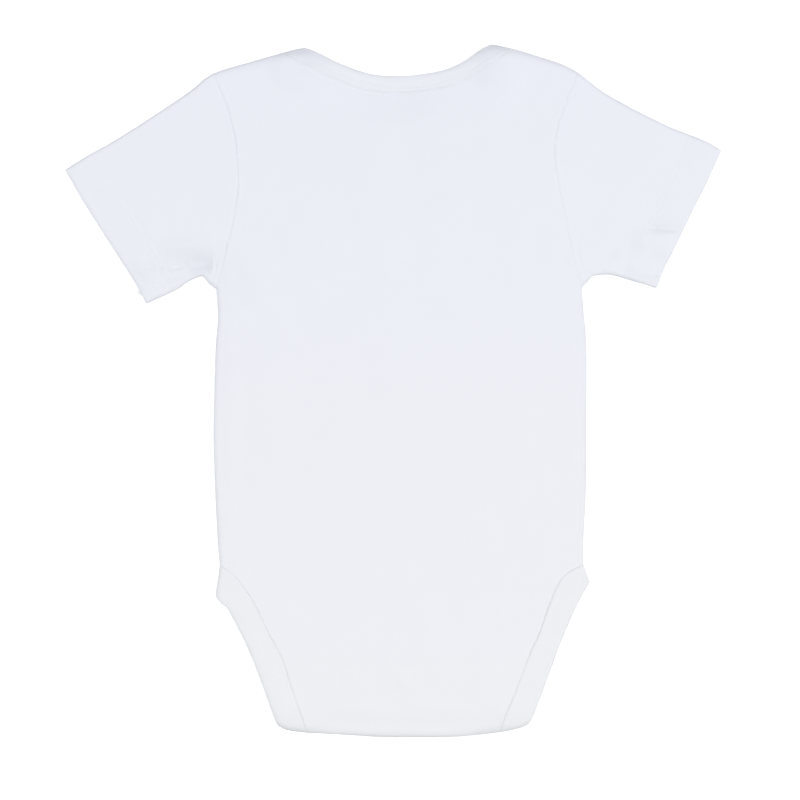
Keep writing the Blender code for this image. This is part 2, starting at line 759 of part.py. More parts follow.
def sleeve_grids(side):
    """A sleeve as a flattened tube, from the armhole out to the cuff."""
    out = SEAM_GAP / 2 * side.inward
    armhole = inset(side.armhole_points, out)[::-1]
    marks = stations(side.cuff.length, len(armhole) - 2 * len(FOLD_TURNS) + 1, True, True)
    cuff = [side.cuff.at(mark) for mark in marks]
    tops, lows = [], []
    reach = side.sleeve_top.length
    hem = HEM_DEPTH / reach
    run = spread(0.0, 1.0 - hem, SLEEVE_ROWS - 2) + [1.0 - hem / 2, 1.0]
    for share in run:
        tops.append(side.sleeve_top.at(share * reach))
        lows.append(side.sleeve_lower.at(share * side.sleeve_lower.length))
    tops[0], lows[0] = armhole[0], armhole[-1]
    tops[-1], lows[-1] = cuff[0], cuff[-1]
    leaf = patch(tops, lows, armhole, cuff)
    rings = []
    for row in leaf:
        ring = [on_fold(row[0])] + [upper(point) for point in row[1:-1]]
        ring += [on_fold(row[-1])] + [lower(point) for point in row[-2:0:-1]]
        rings.append(ring)
    return [(rings, True, side is LEFT)]


def band_row(seam, edge, count, lift):
    """Points across a band, from its seam to its free edge."""
    start = seam + (edge - seam).normalized() * seam_room(seam)
    return [lift(start.lerp(edge, step / count)) for step in range(count + 1)]


def leg_band_grids(side):
    """A leg band: tab edge, crotch fold, back edge, side fold, front edge."""
    width = LEG_BAND_WIDTH * side.inward

    def tab_lift(point):
        return lower(point, tab_level(point))

    def back_lift(point):
        return upper(point, LEG_BAND_PROUD)

    def front_lift(point):
        return lower(point, front_level(point))

    count = BAND_COLUMNS
    rows = []
    first_edge, last_edge = side.leg_edge[0], side.leg_edge[-1]
    for mark in stations(side.tab_leg.length, TAB_ROWS, True, False)[:0:-1]:
        edge = beside(side.tab_leg, mark, width)
        blend = between(mark, 0.0, TAB_BAND_BLEND)
        edge = (first_edge + side.tab_leg.at(mark) - side.tab_leg.at(0.0)).lerp(edge, blend)
        rows.append(band_row(side.tab_leg.at(mark), edge, count, tab_lift))
    fold = Curve(plan(LEFT_BAND_FOLD if side is LEFT else RIGHT_BAND_FOLD))
    run = fold.length - SEAM_GAP
    rows.append([on_fold(fold.at(run * (1.0 - step / count))) for step in range(count + 1)])
    for seam, edge in list(zip(side.leg_seam, side.leg_edge))[1:-1]:
        rows.append(band_row(seam, edge, count, back_lift))
    rows.append(band_row(side.leg_seam[-1], last_edge, count, on_fold))
    for mark in stations(side.front_leg.length, FRONT_LEG_ROWS, True, False)[1:]:
        edge = beside(side.front_leg, mark, -width)
        blend = between(mark, 0.0, FRONT_BAND_BLEND)
        edge = (last_edge + side.front_leg.at(mark) - side.front_leg.at(0.0)).lerp(edge, blend)
        rows.append(band_row(side.front_leg.at(mark), edge, count, front_lift))
    return [(rows, False, side is LEFT)]


def neck_binding_back_grids():
    """The back neck band, which runs on over both shoulders along the laps."""
    def neck_lift(point):
        return upper(point, NECK_BAND_PROUD)

    count = NECK_BAND_COLUMNS
    rows = [band_row(NECK_SEAMS[0], NECK_EDGES[0], count, on_fold)]
    for seam, edge in list(zip(NECK_SEAMS, NECK_EDGES))[1:-1]:
        rows.append(band_row(seam, edge, count, neck_lift))
    rows.append(band_row(NECK_SEAMS[-1], NECK_EDGES[-1], count, on_fold))
    for side in (LEFT, RIGHT):
        clear = Vector((BAND_END_CLEAR * side.inward, 0.0))
        lap_rows = []
        for mark in stations(side.lap.length, LAP_ROWS + 2, True, False)[1:]:
            share = mark / side.lap.length
            edge = side.lap.at(mark) + clear * share
            seam = side.lap_seam.at(side.lap_seam.length * share) + clear * share
            lap_rows.append(band_row(seam, edge, count, lower))
        rows = lap_rows[::-1] + rows if side is LEFT else rows + lap_rows
    return [(rows, False, True)]


def neck_binding_front_grids():
    """The front neck band, from one armhole to the other."""
    def strap_lift(point):
        return lower(point, front_level(point))

    seams, edges = front_neck(BAND_END_CLEAR)
    rows = [band_row(s, e, NECK_BAND_COLUMNS, strap_lift) for s, e in zip(seams, edges)]
    return [(rows, False, False)]


def add_snap(name, x, material, collection):
    """Add a closed snap: cap under the flap, post, and head over the tab."""
    profile = (
        (0.0, SNAP_HEAD_TOP),
        (SNAP_HEAD_RADIUS - SNAP_EDGE, SNAP_HEAD_TOP),
        (SNAP_HEAD_RADIUS, SNAP_HEAD_TOP - SNAP_EDGE),
        (SNAP_HEAD_RADIUS, SNAP_HEAD_BASE),
        (SNAP_POST_RADIUS, SNAP_HEAD_BASE),
        (SNAP_POST_RADIUS, SNAP_CAP_THICKNESS),
        (SNAP_CAP_RADIUS, SNAP_CAP_THICKNESS),
        (SNAP_CAP_RADIUS, SNAP_EDGE),
        (SNAP_CAP_RADIUS - SNAP_EDGE, 0.0),
        (0.0, 0.0),
    )
    mesh = bpy.data.meshes.new(name)
    points = [(radius, 0.0, height) for radius, height in profile]
    edges = [(index, index + 1) for index in range(len(points) - 1)]
    mesh.from_pydata(points, edges, [])
    snap = bpy.data.objects.new(name, mesh)
    collection.objects.link(snap)
    snap.location = (x, SNAP_Y, 0.0)
    mesh.materials.append(material)
    turn = snap.modifiers.new("Turn", "SCREW")
    turn.steps = SNAP_SIDES
    turn.render_steps = SNAP_SIDES
    turn.use_merge_vertices = True
    turn.merge_threshold = WELD


def cut_snap_hole(piece, x, cutters):
    """Cut a post's hole through the flap or the tab."""
    shape = bmesh.new()
    bmesh.ops.create_cone(
        shape,
        cap_ends=True,
        segments=SNAP_HOLE_SIDES,
        radius1=SNAP_HOLE_RADIUS,
        radius2=SNAP_HOLE_RADIUS,
        depth=SNAP_HOLE_TOP - SNAP_HOLE_FOOT,
    )
    mesh = bpy.data.meshes.new("snap_hole")
    shape.to_mesh(mesh)
    shape.free()
    cutter = bpy.data.objects.new("snap_hole", mesh)
    cutters.objects.link(cutter)
    cutter.location = (x, SNAP_Y, (SNAP_HOLE_TOP + SNAP_HOLE_FOOT) / 2)
    cutter.hide_render = True
    cutter.display_type = "WIRE"
    cut = piece.modifiers.new("Snap hole", "BOOLEAN")
    cut.operation = "DIFFERENCE"
    cut.object = cutter


# ---------------------------------------------------------------- build

def new_material(name, colour, roughness):
    """A plain material for one kind of piece."""
    material = bpy.data.materials.new(name)
    material.use_nodes = True
    shader = material.node_tree.nodes["Principled BSDF"]
    shader.inputs["Base Color"].default_value = colour
    shader.inputs["Roughness"].default_value = roughness
    shader.inputs["Metallic"].default_value = 0.0
    return material


def new_collection(name):
    """A collection in the scene."""
    collection = bpy.data.collections.new(name)
    bpy.context.scene.collection.children.link(collection)
    return collection


def thicken_hem(sleeve, rings):
    """Make a sleeve's wall thicker over its turned-up hem."""
    hem = sleeve.vertex_groups.new(name="hem")
    per_ring = len(rings[0])
    first = (len(rings) - 3) * per_ring
    hem.add(range(first, len(sleeve.data.vertices)), 1.0, "REPLACE")
    wall = sleeve.modifiers["Wall"]
    wall.thickness = HEM_CLOTH
    wall.vertex_group = "hem"
    wall.thickness_vertex_group = CLOTH / HEM_CLOTH


def main():
    """Build every piece of the bodysuit."""
    for item in list(bpy.data.objects):
        bpy.data.objects.remove(item)
    garment = new_collection("baby_bodysuit")
    cutters = new_collection("cutters")
    jersey = new_material("jersey", WHITE_JERSEY, 0.9)
    rib = new_material("rib", WHITE_RIB, 0.9)
    lacquer = new_material("snap_lacquer", WHITE_LACQUER, 0.35)

    back = add_cloth("back_panel", back_panel_grids(), CLOTH, jersey, garment)
    front = add_cloth("front_panel", front_panel_grids(), CLOTH, jersey, garment)
    for side, label in ((LEFT, "left"), (RIGHT, "right")):
        grids = sleeve_grids(side)
        sleeve = add_cloth(f"sleeve_{label}", grids, CLOTH, jersey, garment)
        thicken_hem(sleeve, grids[0][0])
        add_cloth(f"leg_band_{label}", leg_band_grids(side), LEG_BAND_CLOTH, rib, garment)
    add_cloth("neck_binding_back", neck_binding_back_grids(), NECK_BAND_CLOTH, rib, garment)
    add_cloth("neck_binding_front", neck_binding_front_grids(), NECK_BAND_CLOTH, rib, garment)
    for offset, label in ((-1, "left"), (0, "middle"), (1, "right")):
        x = SNAP_CENTRE_X + offset * SNAP_SPACING
        add_snap(f"snap_{label}", x, lacquer, garment)
        for piece in (back, front):
            cut_snap_hole(piece, x, cutters)


main()
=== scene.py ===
"""Looks of a short-sleeved baby bodysuit that lies flat with its back up.

Metres, +Z up, +Y towards the neck. The cloth rests on the plane Z = 0. The
garment is a flattened tube: an upper leaf, a lower leaf and rounded folds
where one turns into the other. Each piece of cloth is a closed thin wall laid
through rows of points on those leaves, with its creases, its seams rolled in
and its free edges rounded. Stitches, snaps and finishes are added to it.
"""

import json
import logging
import math
from dataclasses import dataclass, field
from enum import Enum
from typing import NamedTuple, Protocol

import bmesh
import bpy
import numpy as np
from mathutils.kdtree import KDTree
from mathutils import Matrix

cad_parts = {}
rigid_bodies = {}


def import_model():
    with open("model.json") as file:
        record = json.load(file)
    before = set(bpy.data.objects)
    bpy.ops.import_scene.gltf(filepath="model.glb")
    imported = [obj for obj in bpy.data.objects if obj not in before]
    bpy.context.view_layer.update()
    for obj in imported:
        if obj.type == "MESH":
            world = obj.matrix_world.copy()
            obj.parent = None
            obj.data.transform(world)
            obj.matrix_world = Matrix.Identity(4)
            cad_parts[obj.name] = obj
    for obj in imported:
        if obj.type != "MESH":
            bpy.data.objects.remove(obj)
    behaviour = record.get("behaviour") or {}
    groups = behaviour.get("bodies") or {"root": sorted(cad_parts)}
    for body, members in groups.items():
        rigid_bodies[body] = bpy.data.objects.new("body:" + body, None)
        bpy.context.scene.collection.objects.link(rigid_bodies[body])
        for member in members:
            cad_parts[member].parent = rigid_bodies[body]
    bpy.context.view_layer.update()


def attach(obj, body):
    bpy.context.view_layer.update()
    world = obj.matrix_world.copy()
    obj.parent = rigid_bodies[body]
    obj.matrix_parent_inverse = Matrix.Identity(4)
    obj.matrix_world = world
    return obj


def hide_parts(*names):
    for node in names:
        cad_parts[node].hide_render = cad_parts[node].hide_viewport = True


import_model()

log = logging.getLogger("bodysuit")

Points = np.ndarray  # points in plan (x, y) or in space (x, y, z)
Numbers = np.ndarray  # one number for each point
Strengths = tuple[tuple[float, float], ...]  # (share of a seam's length, how strongly it shows)
Colour = tuple[float, float, float]
Piece = bpy.types.Object
Material = bpy.types.Material
Socket = bpy.types.NodeSocket

BODY = "root"
CUT_MAP = "cut"  # the UV map that follows the cloth, in metres
SHADE_LAYER = "painted_shade"  # the attribute of painted shade, from 0 to 1
MM = 0.001  # tables of places and creases are in millimetres

# Cloth
CLOTH = 0.0011  # thickness of the jersey wall
HEM_CLOTH = 0.0018  # the sleeve hem, where the jersey is turned up inside
NECK_BAND_CLOTH = 0.0014
LEG_BAND_CLOTH = 0.0016
NECK_BAND_WIDTH = 0.01
LEG_BAND_WIDTH = 0.015
TAB_BAND_BLEND = 0.012
FRONT_BAND_BLEND = 0.02
BAND_END_CLEAR = 0.0009
BAND_PROUD = 0.00002

# Seams
SEAM_GAP = 0.00001  # clear space between two sewn pieces
FOLD_SEAM_GAP = 0.0001  # the same where a seam turns over a fold
FOLD_SEAM_REACH = 0.005
SEAM_ROUND = 0.00012  # how far a sewn edge takes to roll in
SEAM_DIP = 0.12  # share of half the wall that a sewn edge rolls in
RIM_TURNS = np.radians([0.0, 25.0, 50.0, 72.0, 90.0])

# Lie of the cloth
FOLD_REACH = 0.0024  # how far from the outline a fold takes to round over
FOLD_DROP = 0.0003  # half of the upright stretch in the middle of a fold
FOLD_TURNS = np.radians([0.0, 9.0, 18.0, 28.0, 40.0, 54.0, 71.0, 90.0])
FOLD_MIDDLE = 0.4  # height of a fold's widest line, as a share of the leaf's
LOW_FOLD_MIDDLE = 0.27  # the same at the shoulders and the crotch
LOW_START_Y = 0.14
LOW_FULL_Y = 0.18
CROWN = 0.0007
CROWN_START_Y = -0.13
CROWN_FULL_LOW_Y = 0.0
CROWN_FULL_HIGH_Y = 0.05
CROWN_END_Y = 0.17
BODY_CENTRE_X = 0.004
BODY_HALF_WIDTH = 0.111
NECK_CENTRE_X = 0.003
NECK_SAG = 0.003
NECK_SAG_HALF_WIDTH = 0.05
NECK_SAG_START_Y = 0.155
NECK_SAG_END_Y = 0.187
STRAP_LIFT = 0.0017
STRAP_FLAT_Y = 0.106
STRAP_RAISED_Y = 0.136
STRAP_INNER_X = 0.025
STRAP_OUTER_X = 0.055
FLAP_LIFT = 0.001
FLAP_FLAT_Y = -0.14
FLAP_RAISED_Y = -0.16
TAB_LIFT = 0.003
TAB_FLAT_Y = -0.199
TAB_RAISED_Y = -0.187

# Crotch closure
SNAP_Y = -0.1725
SNAP_CENTRE_X = 0.0057
SNAP_SPACING = 0.032

# Spacing of the rows and columns of points
CURVE_STEPS = 12
TANGENT_STEP = 0.0005
WELD = 0.000002
FAR = 1.0  # stands for any distance too long to matter
TINY = 1e-12
BLOCK = 4000  # points compared with a line at a time


def table(*rows: tuple[float, ...]) -> Points:
    """A table of places, from millimetres to metres."""
    return np.array(rows) * MM


# Each row is a place along the garment and the upper leaf's height there.
UPPER_LEVELS = table(
    (-204, 5), (-190, 6.4), (-158, 6.4), (-120, 4.3), (90, 4.3), (140, 4.8), (170, 4.8), (196, 5.8),
)

# Rows of four numbers are a point of the left half and its partner on the right.
# Side folds from the top of the leg bands up to the underarms.
SIDES = table(
    (-104.1, -103.9, 113.9, -103.6), (-105.6, -87, 114.2, -87),
    (-106.9, -60, 115.5, -60), (-107.9, -30, 115.8, -30),
    (-107.4, 0, 115.9, 0), (-106.6, 27, 115.8, 27),
    (-105.3, 45, 114.4, 45), (-106.3, 61.2, 113.1, 62.2),
)

# Armhole seams from the underarms up to the shoulder points.
ARMHOLES = table(
    (-106.3, 61.2, 113.1, 62.2), (-100.8, 82, 107.3, 82),
    (-95.5, 105, 102.6, 105), (-93.1, 125, 98.5, 125),
    (-93.5, 140, 96.5, 140), (-95.7, 155, 97.4, 155),
    (-100.4, 172, 103, 172), (-108.2, 190.4, 110.8, 190.9),
)

# Shoulder folds from the shoulder points up to the corners of the neck.
SHOULDERS = table(
    (-108.2, 190.4, 110.8, 190.9), (-99.8, 193.4, 106, 193.8),
    (-87.2, 197, 98.2, 197.1), (-74.6, 200.6, 86.8, 200.8),
    (-60.8, 204.4, 73.7, 204.8), (-53.2, 206, 59, 208.1),
)
NECK_BAND_ON_FOLD = 0.0145
NECK_NEEDLE_ON_BAND = 0.007  # row of stitches, from the band's edge
NECK_NEEDLE_ON_PANEL = 0.001  # row of stitches, from the band's seam
UNDER_GROOVE = 0.00026  # where a row of stitches lies face down
UNDER_GROOVE_REACH = 0.0008
BAND_FULLNESS = 0.8  # how bluntly a band's swell falls off to its edges

# Outer edge of the back neckline, from the left corner to the right one.
NECK_EDGE = table(
    (-53.2, 206), (-43.2, 201.5), (-32.5, 196.5), (-14.1, 190.5), (4, 189.2), (19.3, 190.6),
    (31.5, 192.9), (42.4, 197.6), (51.4, 203.8), (59, 208.1),
)

# Outer edge of each lap, under the shoulder, between neck corner and armhole.
LAP_EDGES = table(
    (-53.2, 206, 59, 208.1), (-60, 193.5, 66.3, 194.5),
    (-67.2, 181, 73.3, 182), (-76.2, 165, 82.2, 165.5),
)
LAP_SEAM_ON_ARMHOLE = 0.037
LAP_EDGE_ON_ARMHOLE = 0.056

# Outer edge of the front neckline: along each strap, then down to the middle.
FRONT_NECK_SIDES = table(
    (-93, 186, 99, 186), (-78, 191.5, 84, 192), (-65, 194.5, 71, 195.5),
    (-53, 191.5, 59, 192.5), (-44, 181, 50, 181), (-35, 169, 41, 169),
    (-23, 159, 29, 159), (-10, 154.1, 16, 154.1),
)
FRONT_NECK_MIDDLE = table((3, 153))
FRONT_NECK_TURNS = 17  # points that its seam is laid through
STRAP_EDGE_ON_ARMHOLE = 0.0085
STRAP_SEAM_ON_ARMHOLE = 0.019
STRAP_END_SHARE = 0.06

# Sleeve folds and cuffs.
SLEEVE_TOP_FOLDS = table(
    (-108.2, 190.4, 110.8, 190.9), (-114.8, 186, 116.3, 186.7),
    (-123.2, 179, 125.5, 179.7), (-144.8, 164.5, 144.4, 168.9),
    (-168.2, 149.6, 167.4, 157.7), (-183.8, 140.9, 185.8, 150.5),
    (-196.9, 132.7, 196.9, 144.2),
)
SLEEVE_LOWER_FOLDS = table(
    (-106.3, 61.2, 113.1, 62.2), (-110.7, 64.5, 116.6, 65.7),
    (-114.7, 68.9, 119.4, 68.6), (-117.8, 68.2, 124.9, 69.8),
    (-124.3, 64.8, 131.8, 69.5), (-131, 60.3, 143.2, 66.2),
    (-148.4, 52.3, 158, 61.7),
)
CUFFS = table(
    (-196.9, 132.7, 196.9, 144.2), (-187.9, 116.3, 187.9, 124.5),
    (-175.6, 96.8, 179.2, 107.1), (-165.3, 80.8, 170.3, 88.7),
    (-155.5, 65.4, 162.7, 73.3), (-148.4, 52.3, 158, 61.7),
)

# Back leg bands: a point on the seam to the panel and one on the free edge, from
# the crotch fold up to the fold at the side.
LEFT_LEG = table(
    (-51.8, -205.2, -68.6, -201.5), (-54.8, -195, -71.1, -196.9),
    (-61.3, -176.6, -76.3, -182.4), (-66.2, -161.3, -81.9, -167.1),
    (-74.3, -145.3, -88, -152.5), (-81.5, -130.7, -95, -138.8),
    (-88.9, -118.7, -99.8, -130.4), (-94.8, -111.3, -103.3, -127.6),
    (-104.1, -103.9, -106.7, -123.3),
)
RIGHT_LEG = table(
    (63.4, -205, 80.8, -200.4), (67.6, -193, 83.4, -195.9),
    (73.8, -177.8, 88.1, -183.9), (81.8, -156.7, 96, -162.5),
    (86.8, -146, 99.8, -151.9), (94.1, -126.1, 108.7, -131.8),
    (101.7, -111.6, 115.8, -118.2), (113.9, -103.6, 117.8, -114.9),
)

# Seams of the hidden leg edges: the front's from the side fold down to the
# end of the flap, and the tab's from the crotch fold up to its end.
FRONT_LEGS = table(
    (-104.1, -103.9, 113.9, -103.6), (-93, -112.5, 104, -112),
    (-81, -124.5, 92.4, -124), (-69.5, -139.5, 80.9, -139.5),
    (-58.5, -156.5, 69.9, -156.5), (-50.5, -172, 61.9, -172),
    (-47.5, -183, 58.9, -183),
)
TAB_LEGS = table(
    (-51.8, -205.2, 63.4, -205), (-49.5, -196, 60.9, -196),
    (-47.3, -185, 58.7, -185), (-46, -173, 57.4, -173),
    (-45.6, -162, 57, -162),
)

# The fold at the crotch: over the left leg band, the panel, the right band.
LEFT_BAND_FOLD = table(
    (-68.6, -201.5), (-64.3, -203.4), (-58, -204.6), (-51.8, -205.2),
)
CROTCH_FOLD = table(
    (-51.8, -205.2), (-32.5, -206.2), (-14.1, -207.4), (4, -207.9), (26.9, -207.8), (42.2, -207.3),
    (63.4, -205),
)
RIGHT_BAND_FOLD = table(
    (80.8, -200.4), (76.8, -202.1), (70.5, -203.8), (63.4, -205),
)

# Number of rows or columns of points along each stretch
SHOULDER_COLUMNS = 24
NECK_COLUMNS = 80
LEG_ROWS = 60
SIDE_ROWS = 86
ARMHOLE_ROWS = 82
TAB_ROWS = 20
LAP_ROWS = 18
FRONT_COLUMNS = 120
FRONT_LEG_ROWS = 50
BAND_COLUMNS = 12
NECK_BAND_COLUMNS = 10
SLEEVE_COLUMNS = 150
SLEEVE_ROWS = 84
HEM_ROWS = 30


class Crease(NamedTuple):
    """A soft ridge, or a trough where its height is below zero.

    It runs from its start to its end, bowed to the left by its bow. Its flanks
    reach that far to each side, and it dies away towards both ends.
    """

    start_x: float
    start_y: float
    end_x: float
    end_y: float
    bow: float
    reach: float
    height: float


def creases(*rows: tuple[float, ...]) -> tuple[Crease, ...]:
    """A table of creases, from millimetres to metres."""
    return tuple(Crease(*(value * MM for value in row)) for row in rows)


# Back panel, seen from above.
BACK_CREASES = creases(
    (-99, 52, -98.5, -96, 2, 4.8, 0.42),
    (107.2, 48, 108, -92, -2, 5, 0.26),
    (-90.5, 40, -90, -85, 1, 6, -0.16),
    (-99.6, 76, -90.5, 60, 1.4, 2, -0.42),
    (-97.2, 82, -84, 69, 1, 2.4, 0.26),
    (-101.2, 64, -88, 48, 1.2, 2.6, -0.26),
    (-94, 93, -70, 74, 3, 4.5, -0.22),
    (-90, 101, -56, 87, 3.5, 6, 0.18),
    (106, 79, 97.5, 64, -1.2, 2.2, -0.3),
    (104, 85, 88, 70, -1.2, 3, 0.22),
    (101, 96, 76, 79, -2.5, 5, -0.18),
    (-62, 189, -56, 179, 1, 3, 0.2),
    (64, 190, 57, 180, 1, 3.2, -0.18),
    (70, 184, 60, 169, 1.2, 4.5, 0.18),
    (-42, 176, 42, 174, -6, 5.5, -0.2),
    (-30, 164, 24, 162, -5, 7, 0.16),
    (-70, 30, 30, 12, 5, 11, -0.18),
    (-20, -14, 82, -35, 4, 12, -0.16),
    (-83, -56, 10, -70, -5, 12, 0.16),
    (30, 62, 92, 40, 3, 10, -0.14),
    (-76, -118, -30, -136, -3, 7, -0.2),
    (86, -116, 42, -135, 3, 7, -0.2),
    (-56, -164, -12, -168, 2, 4.2, -0.26),
    (12, -166, 60, -164, 2, 4.2, -0.24),
    (-48, -180, 56, -180, -1, 5, -0.18),
    (-42, -190, 2, -193.5, 1, 3, 0.2),
    (6, -193.5, 52, -190, 1, 3, 0.18),
)

# Laps, straps and bands lie stacked under both corners of the neck.
NECK_HUMPS = table((-57, 194.5), (64, 195.5))
NECK_HUMP_REACH = 0.015
NECK_HUMP_HEIGHT = 0.0022

# The snaps under the back panel press up through it as faint rounds.
SNAP_SHOW_REACH = 0.0046
SNAP_SHOW_HEIGHT = 0.00022

# Left sleeve, seen from above: the hollow by the underarm, the fold that runs
# out of it, and the small puckers at the cuff's lower corner.
LEFT_SLEEVE_CREASES = creases(
    (-122, 73.8, -107.8, 76.2, 0.4, 4.4, -2),
    (-142, 85, -105, 87.6, 1.6, 5.6, 1.3),
    (-116, 78, -111, 73, 0.4, 3, -0.3),
    (-150, 77, -124, 76, 1, 5, -0.6),
    (-133, 72.6, -122.8, 74.6, 0.6, 0.9, -0.6),
    (-135, 70.6, -124, 71.6, 0.3, 1.2, 0.35),
    (-106.2, 77.6, -107, 69.8, 0.1, 1, -0.4),
    (-108.8, 74, -109.6, 69.4, 0.1, 1.1, 0.22),
    (-110.4, 89, -105.2, 76, 0.4, 1.8, 0.2),
    (-150, 75.2, -140, 70, 0.6, 1.3, -0.5),
    (-144, 78.4, -140.4, 73, 0.3, 1.2, 0.45),
    (-142, 76.8, -138.2, 67.2, 0.4, 1.2, -0.45),
    (-153, 66.8, -149, 64, 0.3, 1, -0.45),
    (-146.6, 67, -141.6, 63.4, 0.3, 1, 0.5),
    (-144, 64, -137, 61.2, 0.3, 0.9, -0.45),
    (-146.6, 60, -131.6, 64, 0.6, 1.1, 0.34),
    (-155.6, 69.4, -149.6, 68.4, 0.3, 1, -0.4),
    (-185, 126, -176, 112, 1.2, 3.2, -0.2),
    (-130, 165, -124, 104, 4, 9, -0.18),
    (-162, 135, -142, 96, 3, 9, 0.16),
)

# Right sleeve, seen from above: a pucker across the hem and small creases at
# the cuff's lower corner and the underarm.
RIGHT_SLEEVE_CREASES = creases(
    (150, 98.2, 173.5, 97, -0.4, 2, -0.85),
    (156, 98, 159.6, 97.6, 0.1, 0.8, -0.6),
    (154, 93.2, 171, 93.2, 0.2, 2.6, 0.5),
    (140, 90, 150, 83, 1, 3.4, -0.6),
    (140, 72.2, 150, 71.6, 0.3, 1.1, -0.38),
    (154.6, 70, 161.4, 69.2, 0.2, 1, -0.7),
    (156, 68, 160.4, 67.4, 0.1, 0.9, 0.35),
    (150, 65.2, 159.4, 63.4, 0.2, 0.9, -0.46),
    (144, 80.6, 146.2, 74.6, 0.4, 2, -0.24),
    (158.6, 85, 164, 83.6, 0.3, 1.4, -0.26),
    (125.6, 73.6, 126.2, 69, 0.1, 0.9, -0.5),
    (110, 88, 113, 72, -0.4, 1.2, -0.3),
    (115, 85, 134, 80, 1, 4, 0.26),
    (178, 146, 170, 130, 0.8, 2.6, -0.22),
    (124, 160, 121, 104, -3, 9, -0.18),
    (150, 144, 140, 98, -3, 9, 0.16),
)

# Painted shade: colour darkened to stand for the shade in hollows, corners
# and folds. The last number of each is how far it goes, from 0 to 1.
BACK_PAINTED_SHADE = creases(
    (-30, 177, 40, 176, -3, 11, 0.025),
    (11, 181, 18, 164, 0, 6, 0.03),
    (-101, 56, -103, 90, 0, 4, 0.07),
    (-96, 76, -86, 56, 1, 6, 0.04),
    (-62, 193, -42, 189, 0, 7, 0.08),
    (48, 190, 70, 193, 0, 7, 0.07),
    (-66, 201.8, -44, 201.2, 0, 3.4, 0.27),
    (-55, 198.8, -36, 195.5, 0, 3.4, 0.15),
    (51, 203.8, 70, 204.6, 0, 3.4, 0.3),
    (47, 199.5, 61, 199.5, 0, 3.6, 0.16),
    (-74, -200.8, -40, -204.4, -0.6, 3, 0.23),
    (44, -204.8, 76, -201.2, -0.6, 3, 0.18),
    (-40, -206.2, 48, -207, 0, 2.2, 0.07),
)
LEFT_PAINTED_SHADE = creases(
    (-127, 74.5, -105, 76.5, 0.6, 5.6, 0.15),
    (-137, 81, -105, 82, 1, 6, 0.12),
    (-120, 72.8, -109, 74.8, 0.4, 3, 0.1),
    (-121.5, 70, -113, 71.6, 0.3, 3, 0.08),
    (-156, 79, -148, 60, -2, 6, 0.09),
    (-148, 74, -130, 74, 0.4, 5, 0.05),
    (-138, 64, -124, 69, 0.4, 2.4, 0.06),
)
RIGHT_PAINTED_SHADE = creases(
    (152, 97.6, 172.2, 97.6, 0.2, 3, 0.12),
    (156, 97.8, 159.2, 97.6, 0, 1.2, 0.1),
    (141, 88, 149, 83, 0.6, 4, 0.1),
    (138, 90, 150, 96, 0.6, 4, 0.06),
    (154, 82, 164, 80, 0.6, 3.6, 0.08),
    (138, 72.2, 146, 71.8, 0.2, 2.2, 0.08),
    (144, 70, 160, 66, 0.2, 2.2, 0.06),
    (130, 83, 134, 78, 0.2, 4, 0.06),
)

# Creases pressed into the side that the garment lies on.
FRONT_CREASES = creases(
    (-98, 70, -78, 45, 2, 3, -0.45),
    (106, 70, 86, 43, -2, 3.2, -0.4),
    (-70, 90, -30, 65, 4, 6, -0.3),
    (30, 40, 85, 20, 4, 8, -0.28),
    (-82, -20, -10, -42, 5, 9, -0.26),
    (10, -80, 70, -100, -4, 7, -0.3),
    (-60, -124, -15, -138, -3, 5, -0.3),
    (70, -122, 26, -138, 3, 5, -0.3),
    (-30, 132, 36, 130, 5, 6, -0.26),
)
LEFT_UNDERSIDE_CREASES = creases(
    (-124, 78, -108, 83, 0.4, 2.4, -0.6),
    (-156, 76, -142, 69, 0.4, 1.4, -0.4),
    (-135, 150, -126, 100, 4, 7, -0.24),
)
RIGHT_UNDERSIDE_CREASES = creases(
    (130, 79, 114, 82, 0.4, 2.4, -0.55),
    (164, 84, 150, 77, 0.4, 1.4, -0.4),
    (142, 152, 130, 104, -4, 7, -0.24),
)


class Hand(Enum):
    """Which half of the garment, as it lies: -X is left."""

    LEFT = "left"
    RIGHT = "right"

    @property
    def inward(self) -> int:
        """+1 on the left half, -1 on the right half."""
        return 1 if self is Hand.LEFT else -1

    def column(self, pairs: Points) -> Points:
        """This half's points of a table of pairs."""
        return pairs[:, :2] if self is Hand.LEFT else pairs[:, 2:]


class Rim(Enum):
    """A side of a grid of points."""

    FIRST_ROW = "first row"
    LAST_ROW = "last row"
    FIRST_COLUMN = "first column"
    LAST_COLUMN = "last column"


BAND_RIMS = (Rim.LAST_COLUMN, Rim.FIRST_ROW, Rim.LAST_ROW)  # a band's free edges


# ---- lines


def rise_at(turns: Numbers, reach: float) -> Numbers:
    """Distances from an edge at which its rounding is sampled."""
    return reach * (1.0 - np.cos(turns))


FOLD_STEPS = rise_at(FOLD_TURNS, FOLD_REACH)
SEAM_STEPS = rise_at(RIM_TURNS, SEAM_ROUND)
PLAIN = np.zeros(1)


def rim_steps(wall: float) -> Numbers:
    """Distances from a free edge at which its half round is sampled."""
    return rise_at(RIM_TURNS, wall / 2)


def stations(length: float, count: int, start: Numbers = PLAIN, end: Numbers = PLAIN) -> Numbers:
    """Distances along a line, with close steps at its ends and even ones between.

    Args:
        length: The line's length.
        count: Number of even steps between the close ones.
        start: Close steps from the line's start.
        end: Close steps back from the line's end.

    Returns:
        The distances, from 0 to the length.
    """
    middle = np.linspace(start[-1], length - end[-1], count + 1)[1:-1]
    return np.concatenate([start, middle, length - end[::-1]])


def lengths_along(points: Points) -> Numbers:
    """Length along a polyline at each of its points."""
    steps = np.linalg.norm(np.diff(points, axis=0), axis=-1)
    return np.concatenate([[0.0], np.cumsum(steps)])


def shares(points: Points) -> Numbers:
    """How far along its polyline each point lies, from 0 to 1."""
    marks = lengths_along(points)
    return marks / marks[-1]


